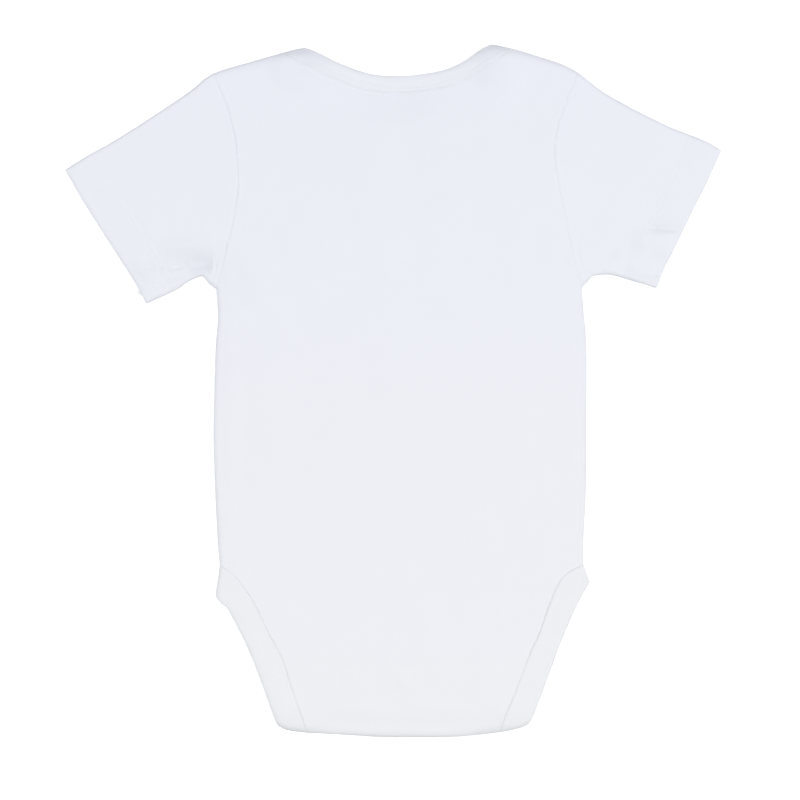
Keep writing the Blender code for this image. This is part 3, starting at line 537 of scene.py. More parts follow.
class Line:
    """A smooth line in plan through a few points, read by the length along it."""

    def __init__(self, points: Points) -> None:
        """Lay the line through the points.

        Args:
            points: The points, one a row.
        """
        ends = np.vstack([2 * points[0] - points[1], points, 2 * points[-1] - points[-2]])
        share = np.linspace(0.0, 1.0, CURVE_STEPS + 1)[1:, None]
        stretches = [points[:1]]
        for index in range(1, len(ends) - 2):
            before, start, end, after = ends[index - 1:index + 3]
            stretches.append(
                0.5 * (
                    2.0 * start
                    + (end - before) * share
                    + (2.0 * before - 5.0 * start + 4.0 * end - after) * share ** 2
                    + (3.0 * start - before - 3.0 * end + after) * share ** 3
                )
            )
        self.points: Points = np.vstack(stretches)
        self.marks: Numbers = lengths_along(self.points)
        self.length: float = float(self.marks[-1])

    def at(self, distance: Numbers) -> Points:
        """The points that lie these distances along the line."""
        columns = [np.interp(distance, self.marks, self.points[:, axis]) for axis in (0, 1)]
        return np.stack(columns, axis=-1)

    def row(self, count: int) -> Points:
        """Points along the whole line, close together at the folds at its ends."""
        return self.at(stations(self.length, count, FOLD_STEPS, FOLD_STEPS))

    def beside(self, distance: Numbers, width: float) -> Points:
        """The points a width to the left of the line's direction of travel.

        Args:
            distance: Lengths along the line.
            width: How far to the left.

        Returns:
            The points.
        """
        ahead, behind = self.at(distance + TANGENT_STEP), self.at(distance - TANGENT_STEP)
        along = ahead - behind
        along = along / np.linalg.norm(along, axis=-1, keepdims=True)
        left = np.stack([-along[..., 1], along[..., 0]], axis=-1)
        return self.at(distance) + left * width

    def near(self, plan: Points, reach: float) -> tuple[Numbers, Numbers]:
        """How far points lie from the line, and where along it each is nearest.

        Args:
            plan: The points, one a row.
            reach: Points further off than this are only said to be far.

        Returns:
            The distances from the line, and the lengths along it.
        """
        away = np.full(len(plan), FAR)
        along = np.zeros(len(plan))
        low, high = self.points.min(axis=0) - reach, self.points.max(axis=0) + reach
        close = np.flatnonzero(np.all((plan > low) & (plan < high), axis=1))
        steps = np.diff(self.points, axis=0)
        squares = np.maximum((steps ** 2).sum(axis=1), TINY)
        runs = np.diff(self.marks)
        for block in np.array_split(close, len(close) // BLOCK + 1):
            offset = plan[block, None] - self.points[:-1]
            share = np.clip((offset * steps).sum(axis=2) / squares, 0.0, 1.0)
            gap = np.linalg.norm(offset - share[..., None] * steps, axis=2)
            nearest = gap.argmin(axis=1)
            rows = np.arange(len(block))
            away[block] = gap[rows, nearest]
            along[block] = self.marks[nearest] + share[rows, nearest] * runs[nearest]
        return away, along


def inset(points: Points, amount: float) -> Points:
    """Points moved sideways in plan, to the left of their direction.

    Args:
        points: The points, in order.
        amount: How far they move.

    Returns:
        The moved points.
    """
    along = np.empty_like(points)
    along[1:-1] = points[2:] - points[:-2]
    along[0] = points[1] - points[0]
    along[-1] = points[-1] - points[-2]
    along = along / np.linalg.norm(along, axis=-1, keepdims=True)
    return points + np.stack([-along[:, 1], along[:, 0]], axis=-1) * amount


def patch(left: Points, right: Points, bottom: Points, top: Points) -> Points:
    """Rows of points that fill the space between four edges in plan.

    Args:
        left: The left edge, from the bottom up.
        right: The right edge, from the bottom up, with as many points.
        bottom: The bottom edge, from the left.
        top: The top edge, from the left, with as many points.

    Returns:
        An array of rows, columns and the two coordinates.
    """
    rise = ((shares(left) + shares(right)) / 2)[:, None, None]
    low, high = shares(bottom), shares(top)
    across = (low + (high - low) * rise[..., 0])[..., None]
    sides = left[:, None] * (1 - across) + right[:, None] * across
    ends = bottom * (1 - rise) + top * rise
    feet = left[0] * (1 - across) + right[0] * across
    heads = left[-1] * (1 - across) + right[-1] * across
    return sides + ends - (feet * (1 - rise) + heads * rise)


def ease(value: Numbers) -> Numbers:
    """A soft step from 0 to 1."""
    value = np.clip(value, 0.0, 1.0)
    return value * value * (3.0 - 2.0 * value)


def between(value: Numbers, start: float, end: float) -> Numbers:
    """How far values have gone from start to end, eased."""
    return ease((value - start) / (end - start))


# ---- relief


class Relief(Protocol):
    """A form that raises the face of the cloth, or sinks it."""

    def height(self, plan: Points) -> Numbers:
        """Height that the form adds at points in plan."""


Forms = tuple[Relief, ...]
WAVE_PARTS = ((1.0, 0.5), (0.62, 0.3), (1.9, 0.35))  # shares of the pitch, and their heights
WAVE_DRIFT = 0.1  # how far the length of a part may be off


def waves(along: Numbers, pitch: float, seed: int) -> Numbers:
    """An uneven wave along a line, between about -1 and 1.

    Args:
        along: Lengths along the line.
        pitch: Length of the main wave.
        seed: Seed of its unevenness.

    Returns:
        The wave's height at each length.
    """
    random = np.random.default_rng(seed)
    total = np.zeros_like(along)
    for part, weight in WAVE_PARTS:
        drift = random.uniform(1.0 - WAVE_DRIFT, 1.0 + WAVE_DRIFT)
        phase = random.uniform(0.0, 2.0 * math.pi)
        total += weight * np.sin(2.0 * math.pi * along / (pitch * part * drift) + phase)
    return total


@dataclass(frozen=True)
class CreaseField:
    """The creases of one stretch of cloth."""

    creases: tuple[Crease, ...]
    turns: int = 5  # number of stretches in a crease's bowed line
    spread: float = 2.6  # how many reaches away a crease still counts
    end: float = 0.03  # nearer to its ends than this share, it counts as this share
    fade: float = 0.7  # how bluntly it dies away towards its ends

    def height(self, plan: Points) -> Numbers:
        """Height that the creases add at points in plan.

        Args:
            plan: Points in plan, one a row.

        Returns:
            A height for each point.
        """
        total = np.zeros(len(plan))
        for crease in self.creases:
            start = np.array([crease.start_x, crease.start_y])
            end = np.array([crease.end_x, crease.end_y])
            run = end - start
            left = np.array([-run[1], run[0]]) / np.linalg.norm(run)
            share = np.linspace(0.0, 1.0, self.turns + 1)[:, None]
            middle = (start + end) / 2 + left * crease.bow * 2.0
            bowed = start * (1 - share) ** 2 + 2 * middle * share * (1 - share) + end * share ** 2
            line = Line(bowed)
            away, along = line.near(plan, crease.reach * self.spread)
            part = np.clip(along / line.length, self.end, 1.0 - self.end)
            fade = np.sin(math.pi * part) ** self.fade
            total += crease.height * fade * np.exp(-(away / crease.reach) ** 2)
        return total


@dataclass(frozen=True)
class SeamRoll:
    """How cloth rolls down into a seam, swells beside it and puckers along it."""

    line: Line
    depth: float = 0.00022
    reach: float = 0.0006
    swell: float = 0.00008
    swell_away: float = 0.0018
    swell_reach: float = 0.001
    pucker: float = 0.00006
    pucker_reach: float = 0.005
    pucker_pitch: float = 0.008
    seed: int = 1
    strengths: Strengths = ((0.0, 1.0), (1.0, 1.0))
    spread: float = 2.5  # how many puckers' reaches away the seam still counts

    def height(self, plan: Points) -> Numbers:
        """Height that the seam adds at points in plan.

        Args:
            plan: Points in plan, one a row.

        Returns:
            A height for each point.
        """
        away, along = self.line.near(plan, self.pucker_reach * self.spread)
        strength = np.interp(along / self.line.length, *zip(*self.strengths))
        dip = self.depth * strength * np.exp(-(away / self.reach) ** 2)
        swell = self.swell * np.exp(-((away - self.swell_away) / self.swell_reach) ** 2)
        pucker = self.pucker * np.exp(-(away / self.pucker_reach) ** 2)
        return swell - dip + pucker * waves(along, self.pucker_pitch, self.seed)


@dataclass(frozen=True)
class EdgeRoll:
    """How the cloth curls down towards a free edge."""

    line: Line
    depth: float
    reach: float

    def height(self, plan: Points) -> Numbers:
        """Height that the curl adds at points in plan.

        Args:
            plan: Points in plan, one a row.

        Returns:
            A height for each point.
        """
        away, _along = self.line.near(plan, self.reach)
        short = np.clip(1.0 - away / self.reach, 0.0, 1.0)
        return -self.depth * (1.0 - np.sqrt(1.0 - short ** 2))


@dataclass(frozen=True)
class Rounds:
    """Soft round bumps of one height, such as snaps felt through the cloth."""

    centres: Points
    reach: float
    rise: float

    def height(self, plan: Points) -> Numbers:
        """Height that the bumps add at points in plan.

        Args:
            plan: Points in plan, one a row.

        Returns:
            A height for each point.
        """
        total = np.zeros(len(plan))
        for centre in self.centres:
            away = np.linalg.norm(plan - centre, axis=1)
            total += self.rise * np.exp(-(away / self.reach) ** 4)
        return total


@dataclass(frozen=True)
class Unevenness:
    """The broad, faint waviness of cloth that has been laid out by hand."""

    amount: float = 0.0001
    length: float = 0.055
    parts: tuple[float, ...] = (1.0, 0.7, 0.45, 0.3)  # shares of the length and the amount
    seed: int = 5

    def height(self, plan: Points) -> Numbers:
        """Height that the waviness adds at points in plan.

        Args:
            plan: Points in plan, one a row.

        Returns:
            A height for each point.
        """
        random = np.random.default_rng(self.seed)
        total = np.zeros(len(plan))
        for scale in self.parts:
            turn = random.uniform(0.0, 2.0 * math.pi)
            phase = random.uniform(0.0, 2.0 * math.pi)
            along = plan @ np.array([math.cos(turn), math.sin(turn)])
            total += scale * np.sin(2.0 * math.pi * along / (self.length * scale) + phase)
        return total * self.amount


@dataclass(frozen=True)
class Grooves:
    """Shallow grooves that rows of stitches pull along a line."""

    line: Line
    distances: tuple[float, ...]
    depth: float = 0.0001
    reach: float = 0.0007
    step: float = 0.0  # height gained on the line's side of the stitches
    spread: float = 0.0072  # how far past the farthest row the grooves still count

    def height(self, plan: Points) -> Numbers:
        """Height that the grooves add at points in plan.

        Args:
            plan: Points in plan, one a row.

        Returns:
            A height for each point.
        """
        away, _along = self.line.near(plan, max(self.distances) + self.spread)
        total = self.step * between(away, self.distances[-1] + self.reach, self.distances[0])
        for distance in self.distances:
            total -= self.depth * np.exp(-((away - distance) / self.reach) ** 2)
        return total


# ---- the lie


class Fold(NamedTuple):
    """A line along which the upper leaf turns into the lower one."""

    line: Line
    start_reach: float
    end_reach: float


@dataclass
class Half:
    """The lines of one half of the garment."""

    hand: Hand
    armhole: Line = field(init=False)
    side: Line = field(init=False)
    shoulder: Line = field(init=False)
    sleeve_top: Line = field(init=False)
    sleeve_lower: Line = field(init=False)
    cuff: Line = field(init=False)
    lap: Line = field(init=False)
    lap_seam: Line = field(init=False)
    front_leg: Line = field(init=False)
    tab_leg: Line = field(init=False)
    leg_seam: Line = field(init=False)
    leg_edge: Line = field(init=False)
    neck_corner: Points = field(init=False)

    def __post_init__(self) -> None:
        """Lay this half's lines through its tables."""
        column = self.hand.column
        leg_rows = LEFT_LEG if self.is_left else RIGHT_LEG
        self.armhole = Line(column(ARMHOLES))
        self.side = Line(column(SIDES))
        self.shoulder = Line(column(SHOULDERS))
        self.sleeve_top = Line(column(SLEEVE_TOP_FOLDS))
        self.sleeve_lower = Line(column(SLEEVE_LOWER_FOLDS))
        self.cuff = Line(column(CUFFS))
        foot = self.down_armhole(LAP_EDGE_ON_ARMHOLE)
        self.lap = Line(np.vstack([column(LAP_EDGES), foot]))
        self.neck_corner = self.shoulder.at(self.shoulder.length - NECK_BAND_ON_FOLD)
        middle = self.lap.beside(self.lap.length / 2, -NECK_BAND_WIDTH * self.hand.inward)
        foot = self.down_armhole(LAP_SEAM_ON_ARMHOLE)
        self.lap_seam = Line(np.vstack([self.neck_corner, middle, foot]))
        self.front_leg = Line(column(FRONT_LEGS))
        self.tab_leg = Line(column(TAB_LEGS))
        self.leg_seam = Line(leg_rows[:, :2])
        self.leg_edge = Line(leg_rows[:, 2:])

    @property
    def is_left(self) -> bool:
        """Whether this is the left half."""
        return self.hand is Hand.LEFT

    def down_armhole(self, distance: Numbers) -> Points:
        """The points on the armhole this far below the shoulder point."""
        return self.armhole.at(self.armhole.length - distance)

    def panel_edge(self, leg: Points, armhole: Points) -> Points:
        """A panel's outer edge: leg seam, side fold, then armhole seam."""
        gap = -SEAM_GAP / 2 * self.hand.inward
        return np.vstack([inset(leg, gap)[:-1], self.side.row(SIDE_ROWS)[:-1], inset(armhole, gap)])

    def shoulder_marks(self) -> Numbers:
        """Distances along the shoulder, from the armhole to the neck band."""
        length = self.shoulder.length - NECK_BAND_ON_FOLD - FOLD_SEAM_GAP / 2
        return stations(length, SHOULDER_COLUMNS, FOLD_STEPS)


@dataclass
class Lie:
    """The heights of both leaves of the garment as it lies."""

    halves: tuple[Half, Half]
    shoulder_reach: float = 0.0034
    shoulder_neck_reach: float = 0.0075
    underarm_reach: float = 0.003
    cuff_reach: float = 0.0024
    crotch_reach: float = 0.0038
    band_reach: float = 0.0034
    folds: list[Fold] = field(init=False)

    def __post_init__(self) -> None:
        """Gather the folds."""
        self.folds = []
        for half in self.halves:
            nub = np.vstack([half.leg_seam.at(half.leg_seam.length), half.leg_edge.at(FAR)])
            self.folds += [
                Fold(half.shoulder, self.shoulder_reach, self.shoulder_neck_reach),
                Fold(half.sleeve_top, FOLD_REACH, self.cuff_reach),
                Fold(half.sleeve_lower, self.underarm_reach, self.cuff_reach),
                Fold(half.side, FOLD_REACH, self.underarm_reach),
                Fold(Line(nub), FOLD_REACH, FOLD_REACH),
            ]
        self.folds += [
            Fold(Line(LEFT_BAND_FOLD), self.band_reach, self.crotch_reach),
            Fold(Line(CROTCH_FOLD), self.crotch_reach, self.crotch_reach),
            Fold(Line(RIGHT_BAND_FOLD), self.band_reach, self.crotch_reach),
        ]

    def fold_share(self, plan: Points) -> Numbers:
        """How far points lie from the nearest fold, as a share of its reach.

        Args:
            plan: Points in plan, one a row.

        Returns:
            A share for each point, 1 or more away from all folds.
        """
        share = np.ones(len(plan))
        for fold in self.folds:
            widest = max(fold.start_reach, fold.end_reach)
            away, along = fold.line.near(plan, widest)
            part = along / fold.line.length
            reach = fold.start_reach + (fold.end_reach - fold.start_reach) * part
            share = np.minimum(share, away / reach)
        return share

    def seam_room(self, plan: Points) -> Numbers:
        """How far a piece stays from a seam: more where it turns a fold."""
        away = np.clip(self.fold_share(plan) * FOLD_REACH / FOLD_SEAM_REACH, 0.0, 1.0)
        return (SEAM_GAP * away + FOLD_SEAM_GAP * (1.0 - away)) / 2

    def rounding(self, plan: Points) -> Numbers:
        """0 on a fold, 1 where the leaf has levelled out."""
        short = 1.0 - self.fold_share(plan)
        return np.sqrt(1.0 - short ** 2)

    @staticmethod
    def plain_level(y: Numbers) -> Numbers:
        """Height of the upper leaf's outer face before its crown and neck sag.

        Args:
            y: Places along the garment.

        Returns:
            A height for each place.
        """
        level = np.full_like(y, UPPER_LEVELS[0, 1])
        for (start, low), (end, high) in zip(UPPER_LEVELS, UPPER_LEVELS[1:]):
            level += (high - low) * between(y, start, end)
        return level

    def middle(self, plan: Points) -> Numbers:
        """Height at which the two leaves meet on a fold.

        Args:
            plan: Points in plan, one a row.

        Returns:
            A height for each point.
        """
        low = between(np.abs(plan[:, 1]), LOW_START_Y, LOW_FULL_Y)
        share = FOLD_MIDDLE + (LOW_FOLD_MIDDLE - FOLD_MIDDLE) * low
        return self.plain_level(plan[:, 1]) * share

    def upper_level(self, plan: Points) -> Numbers:
        """Height of the upper leaf's outer face away from the folds.

        Args:
            plan: Points in plan, one a row.

        Returns:
            A height for each point.
        """
        x, y = plan[:, 0], plan[:, 1]
        across = np.minimum(np.abs(x - BODY_CENTRE_X) / BODY_HALF_WIDTH, 1.0)
        chest = between(y, CROWN_START_Y, CROWN_FULL_LOW_Y)
        chest = chest * between(y, CROWN_END_Y, CROWN_FULL_HIGH_Y)
        neck = np.minimum(np.abs(x - NECK_CENTRE_X) / NECK_SAG_HALF_WIDTH, 1.0)
        sag = NECK_SAG * between(y, NECK_SAG_START_Y, NECK_SAG_END_Y) * (1.0 - neck ** 2) ** 2
        return self.plain_level(y) + CROWN * (1.0 - across ** 2) * chest - sag

    @staticmethod
    def front_level(plan: Points) -> Numbers:
        """Level of the front panel: flat, but over the laps and the snap caps.

        Args:
            plan: Points in plan, one a row.

        Returns:
            A height for each point.
        """
        out = np.abs(plan[:, 0] - NECK_CENTRE_X)
        strap = between(out, STRAP_INNER_X, STRAP_OUTER_X)
        strap = strap * between(plan[:, 1], STRAP_FLAT_Y, STRAP_RAISED_Y)
        return STRAP_LIFT * strap + FLAP_LIFT * between(plan[:, 1], FLAP_FLAT_Y, FLAP_RAISED_Y)

    @staticmethod
    def tab_level(plan: Points) -> Numbers:
        """Level of the crotch tab: flat at the fold, then up onto the flap."""
        return TAB_LIFT * between(plan[:, 1], TAB_FLAT_Y, TAB_RAISED_Y)

    def upper(self, plan: Points, relief: Forms, proud: Numbers = PLAIN) -> Points:
        """Points on the outer face of the upper leaf.

        Args:
            plan: Points in plan, in an array of any shape.
            relief: Creases and seams whose heights are added.
            proud: How far the face stands over the leaf.

        Returns:
            The points in space, in the same arrangement.
        """
        flat = plan.reshape(-1, 2)
        middle = self.middle(flat) + FOLD_DROP
        top = self.upper_level(flat) + np.broadcast_to(proud, plan.shape[:-1]).reshape(-1)
        for form in relief:
            top = top + form.height(flat)
        height = middle + (top - middle) * self.rounding(flat)
        return np.column_stack([flat, height]).reshape(*plan.shape[:-1], 3)

    def lower(self, plan: Points, relief: Forms, level: Numbers = PLAIN) -> Points:
        """Points on the outer face of a lower leaf, pressed flat on its level.

        Args:
            plan: Points in plan, in an array of any shape.
            relief: Creases and seams; only what lifts the face off its level counts.
            level: Height of each point's level, or 0 on the ground.

        Returns:
            The points in space, in the same arrangement.
        """
        flat = plan.reshape(-1, 2)
        middle = self.middle(flat) - FOLD_DROP
        foot = level
        for form in relief:
            foot = foot - np.minimum(form.height(flat), 0.0)
        height = middle - (middle - foot) * self.rounding(flat)
        return np.column_stack([flat, height]).reshape(*plan.shape[:-1], 3)

    def fold_rows(self, plan: Points, *turns: float) -> Points:
        """Rows of points on a fold, one for each turn over it."""
        return np.stack([self.fold_row(plan, turn) for turn in turns])

    def fold_row(self, plan: Points, turn: float) -> Points:
        """Points on a fold, moved up or down by a part of its upright stretch."""
        return np.column_stack([plan, self.middle(plan) + FOLD_DROP * turn])


# ---- cloth


def placed(name: str, data: bpy.types.ID) -> Piece:
    """Put a new object in the scene.

    Args:
        name: Its name.
        data: Its mesh or curve.

    Returns:
        The object.
    """
    piece = bpy.data.objects.new(name, data)
    bpy.context.scene.collection.objects.link(piece)
    return piece


def deselect_all() -> None:
    """Leave nothing selected, so that an operator acts on the new piece alone."""
    for item in bpy.context.view_layer.objects:
        item.select_set(False)


@dataclass
class Grid:
    """Rows of points of one stretch of cloth, with what its wall needs."""

    points: Points
    wall: Numbers
    flip: bool = False
    free: tuple[Rim, ...] = ()
    wales_along_rows: bool = False

    def cut(self) -> Points:
        """Each point's place on the flat cloth, in metres, with wales along v.

        Returns:
            The places, with the grid's rows and columns.
        """
        across = np.linalg.norm(np.diff(self.points, axis=1), axis=-1)
        across = np.pad(np.cumsum(across, axis=1), ((0, 0), (1, 0)))
        across = across - across[:, across.shape[1] // 2, None]
        up = np.linalg.norm(np.diff(self.points, axis=0), axis=-1)
        up = np.pad(np.cumsum(up, axis=0), ((1, 0), (0, 0)))
        parts = (up, across) if self.wales_along_rows else (across, up)
        return np.stack(parts, axis=-1)

    def is_free(self) -> np.ndarray:
        """Whether each point lies on a free edge.

        Returns:
            A mark for each point.
        """
        marked = np.zeros(self.points.shape[:2], dtype=bool)
        marked[0] |= Rim.FIRST_ROW in self.free
        marked[-1] |= Rim.LAST_ROW in self.free
        marked[:, 0] |= Rim.FIRST_COLUMN in self.free
        marked[:, -1] |= Rim.LAST_COLUMN in self.free
        return marked


@dataclass
class ClothWall:
    """Turns grids that share their edges into one closed wall of cloth."""

    name: str
    grids: list[Grid]

    def build(self) -> Piece:
        """Make the wall: two faces that meet in a rounded rim.

        Returns:
            The new object.
        """
        shape = bmesh.new()
        free = shape.verts.layers.float.new("free")
        wall = shape.verts.layers.float.new("wall")
        cut = shape.loops.layers.uv.new(CUT_MAP)
        for grid in self.grids:
            self._add_grid(shape, grid, (free, wall, cut))
        bmesh.ops.remove_doubles(shape, verts=shape.verts, dist=WELD)
        bmesh.ops.dissolve_degenerate(shape, edges=shape.edges, dist=WELD / 2)
        shape.normal_update()
        self._close(shape, (free, wall, cut))
        mesh = bpy.data.meshes.new(self.name)
        shape.to_mesh(mesh)
        shape.free()
        mesh.shade_smooth()
        return placed(self.name, mesh)

    @staticmethod
    def _add_grid(shape: bmesh.types.BMesh, grid: Grid, layers: tuple) -> None:
        """Add one grid's points and faces.

        Args:
            shape: The mesh in the making.
            grid: The stretch of cloth.
            layers: Its layers for free edges, walls and places on the cloth.
        """
        free, wall, cut = layers
        marked, places = grid.is_free(), grid.cut()
        walls = np.broadcast_to(grid.wall, grid.points.shape[:2])
        rows, columns = grid.points.shape[:2]
        verts = [[shape.verts.new(point) for point in row] for row in grid.points]
        for row in range(rows):
            for column in range(columns):
                verts[row][column][free] = float(marked[row, column])
                verts[row][column][wall] = float(walls[row, column])
        for row in range(rows - 1):
            for column in range(columns - 1):
                ring = [(row, column), (row, column + 1), (row + 1, column + 1), (row + 1, column)]
                if grid.flip:
                    ring.reverse()
                face = shape.faces.new([verts[r][c] for r, c in ring])
                for loop, place in zip(face.loops, ring):
                    loop[cut].uv = places[place]

    @staticmethod
    def _close(shape: bmesh.types.BMesh, layers: tuple) -> None:
        """Give the surface its thickness, inwards from where it lies.

        Args:
            shape: The mesh in the making.
            layers: Its layers for free edges, walls and places on the cloth.
        """
        free, wall, cut = layers
        rims = [vert for vert in shape.verts if vert.is_boundary]
        tree = KDTree(len(rims))
        for index, vert in enumerate(rims):
            tree.insert(vert.co, index)
        tree.balance()
        faces = list(shape.faces)
        edges = [edge for edge in shape.edges if edge.is_boundary]
        inner, outer = {}, {}
        for vert in list(shape.verts):
            _place, nearest, away = tree.find(vert.co)
            half = vert[wall] / 2
            is_free = rims[nearest][free] > 0.5
            reach, dip = (half, 1.0) if is_free else (SEAM_ROUND, SEAM_DIP)
            short = max(1.0 - away / reach, 0.0)
            lift = half * (1.0 - dip * (1.0 - math.sqrt(1.0 - short * short)))
            centre = vert.co - vert.normal * half
            outer[vert] = centre + vert.normal * lift
            if vert.is_boundary and is_free:
                inner[vert] = vert
            else:
                inner[vert] = shape.verts.new(centre - vert.normal * lift)
        for vert, place in outer.items():
            vert.co = place
        walls = []
        for edge in edges:
            loop = edge.link_loops[0]
            start, end = loop.vert, loop.link_loop_next.vert
            corners = [end, start] + [inner[v] for v in (start, end) if inner[v] is not v]
            places = {start: loop[cut].uv.copy(), end: loop.link_loop_next[cut].uv.copy()}
            places.update({inner[vert]: place for vert, place in tuple(places.items())})
            walls.append((corners, [places[corner] for corner in corners]))
        for face in faces:
            corners = [inner[vert] for vert in reversed(face.verts)]
            walls.append((corners, [loop[cut].uv.copy() for loop in reversed(face.loops)]))
        for corners, places in walls:
            if len(corners) > 2 and not shape.faces.get(corners):
                added = shape.faces.new(corners)
                for loop, place in zip(added.loops, places):
                    loop[cut].uv = place
        shape.normal_update()


# ---- finishes


COLOUR_MIX_SOCKETS = (0, 6, 7)  # a mix node's share and its two colours
COLOUR_MIX_RESULT = 2


class Recipe:
    """Adds and links the nodes of one material."""

    def __init__(self, name: str) -> None:
        """Start a material with its shader.

        Args:
            name: The material's name.
        """
        self.material = bpy.data.materials.new(name)
        self.material.use_nodes = True
        self.tree = self.material.node_tree
        self.shader = self.tree.nodes["Principled BSDF"]

    def node(self, kind: str, **settings: object) -> bpy.types.Node:
        """Add a node; settings are its properties.

        Args:
            kind: The node's type.
            settings: Its properties.

        Returns:
            The node.
        """
        node = self.tree.nodes.new(kind)
        for name, value in settings.items():
            setattr(node, name, value)
        return node

    def feed(self, target: Socket, value: object) -> None:
        """Link a socket, or set its number.

        Args:
            target: The socket that is fed.
            value: A socket, a number or a colour.
        """
        if isinstance(value, Socket):
            self.tree.links.new(value, target)
        else:
            target.default_value = value

    def math(self, operation: str, first: object, second: object = 0.0) -> Socket:
        """A sum, product or other operation on two numbers.

        Args:
            operation: The operation's name.
            first: A number or a socket.
            second: A number or a socket.

        Returns:
            The result.
        """
        node = self.node("ShaderNodeMath", operation=operation)
        self.feed(node.inputs[0], first)
        self.feed(node.inputs[1], second)
        return node.outputs[0]

    def scaled(self, value: object, factor: float) -> Socket:
        """A number times a factor."""
        return self.math("MULTIPLY", value, factor)

    def off_middle(self, value: object) -> Socket:
        """How far a share is from its middle, at 0.5."""
        return self.math("ABSOLUTE", self.math("SUBTRACT", value, 0.5))

    def dome(self, value: object) -> Socket:
        """A round crest: 1 at 0, and lower away from it."""
        return self.math("SUBTRACT", 1.0, self.math("POWER", value, 2.0))

    def cut_place(self) -> tuple[Socket, Socket]:
        """Place on the flat cloth, across and along the wales, in metres.

        Returns:
            The two numbers.
        """
        place = self.node("ShaderNodeUVMap", uv_map=CUT_MAP)
        parts = self.node("ShaderNodeSeparateXYZ")
        self.feed(parts.inputs[0], place.outputs["UV"])
        return parts.outputs["X"], parts.outputs["Y"]

    def noise(self, scale: float, detail: float = 2.0) -> Socket:
        """A soft irregular field in the object's own space.

        Args:
            scale: How many spots to a metre.
            detail: How finely it is broken up.

        Returns:
            The field, from 0 to 1.
        """
        place = self.node("ShaderNodeTexCoord")
        noise = self.node("ShaderNodeTexNoise")
        self.feed(noise.inputs["Vector"], place.outputs["Object"])
        self.feed(noise.inputs["Scale"], scale)
        self.feed(noise.inputs["Detail"], detail)
        return noise.outputs["Fac"]

    def mixed(self, share: object, first: object, second: object, blend: str) -> Socket:
        """Two colours mixed by a share.

        Args:
            share: How much of the second colour, from 0 to 1.
            first: A colour.
            second: A colour.
            blend: How they are mixed.

        Returns:
            The mixed colour.
        """
        mix = self.node("ShaderNodeMix", data_type="RGBA", blend_type=blend)
        for socket, value in zip(COLOUR_MIX_SOCKETS, (share, first, second)):
            self.feed(mix.inputs[socket], value)
        return mix.outputs[COLOUR_MIX_RESULT]

    def tint(self, share: object, first: Colour, second: Colour) -> Socket:
        """A colour between two colours."""
        return self.mixed(share, (*first, 1.0), (*second, 1.0), "MIX")

    def times(self, first: Socket, second: Socket) -> Socket:
        """The product of two colours."""
        return self.mixed(1.0, first, second, "MULTIPLY")

    def bump(self, height: object, distance: float, strength: float) -> None:
        """Raise the surface by a height field.

        Args:
            height: The height field.
            distance: Height of its full relief.
            strength: How strongly it shows.
        """
        bump = self.node("ShaderNodeBump")
        self.feed(bump.inputs["Strength"], strength)
        self.feed(bump.inputs["Distance"], distance)
        self.feed(bump.inputs["Height"], height)
        self.feed(self.shader.inputs["Normal"], bump.outputs["Normal"])

    def colour(self, value: Socket) -> None:
        """Give the surface its colour."""
        self.feed(self.shader.inputs["Base Color"], value)

    def set(self, **values: float) -> None:
        """Set numbers on the shader's own sockets, named with _ for spaces."""
        for name, value in values.items():
            self.shader.inputs[name.replace("_", " ")].default_value = value


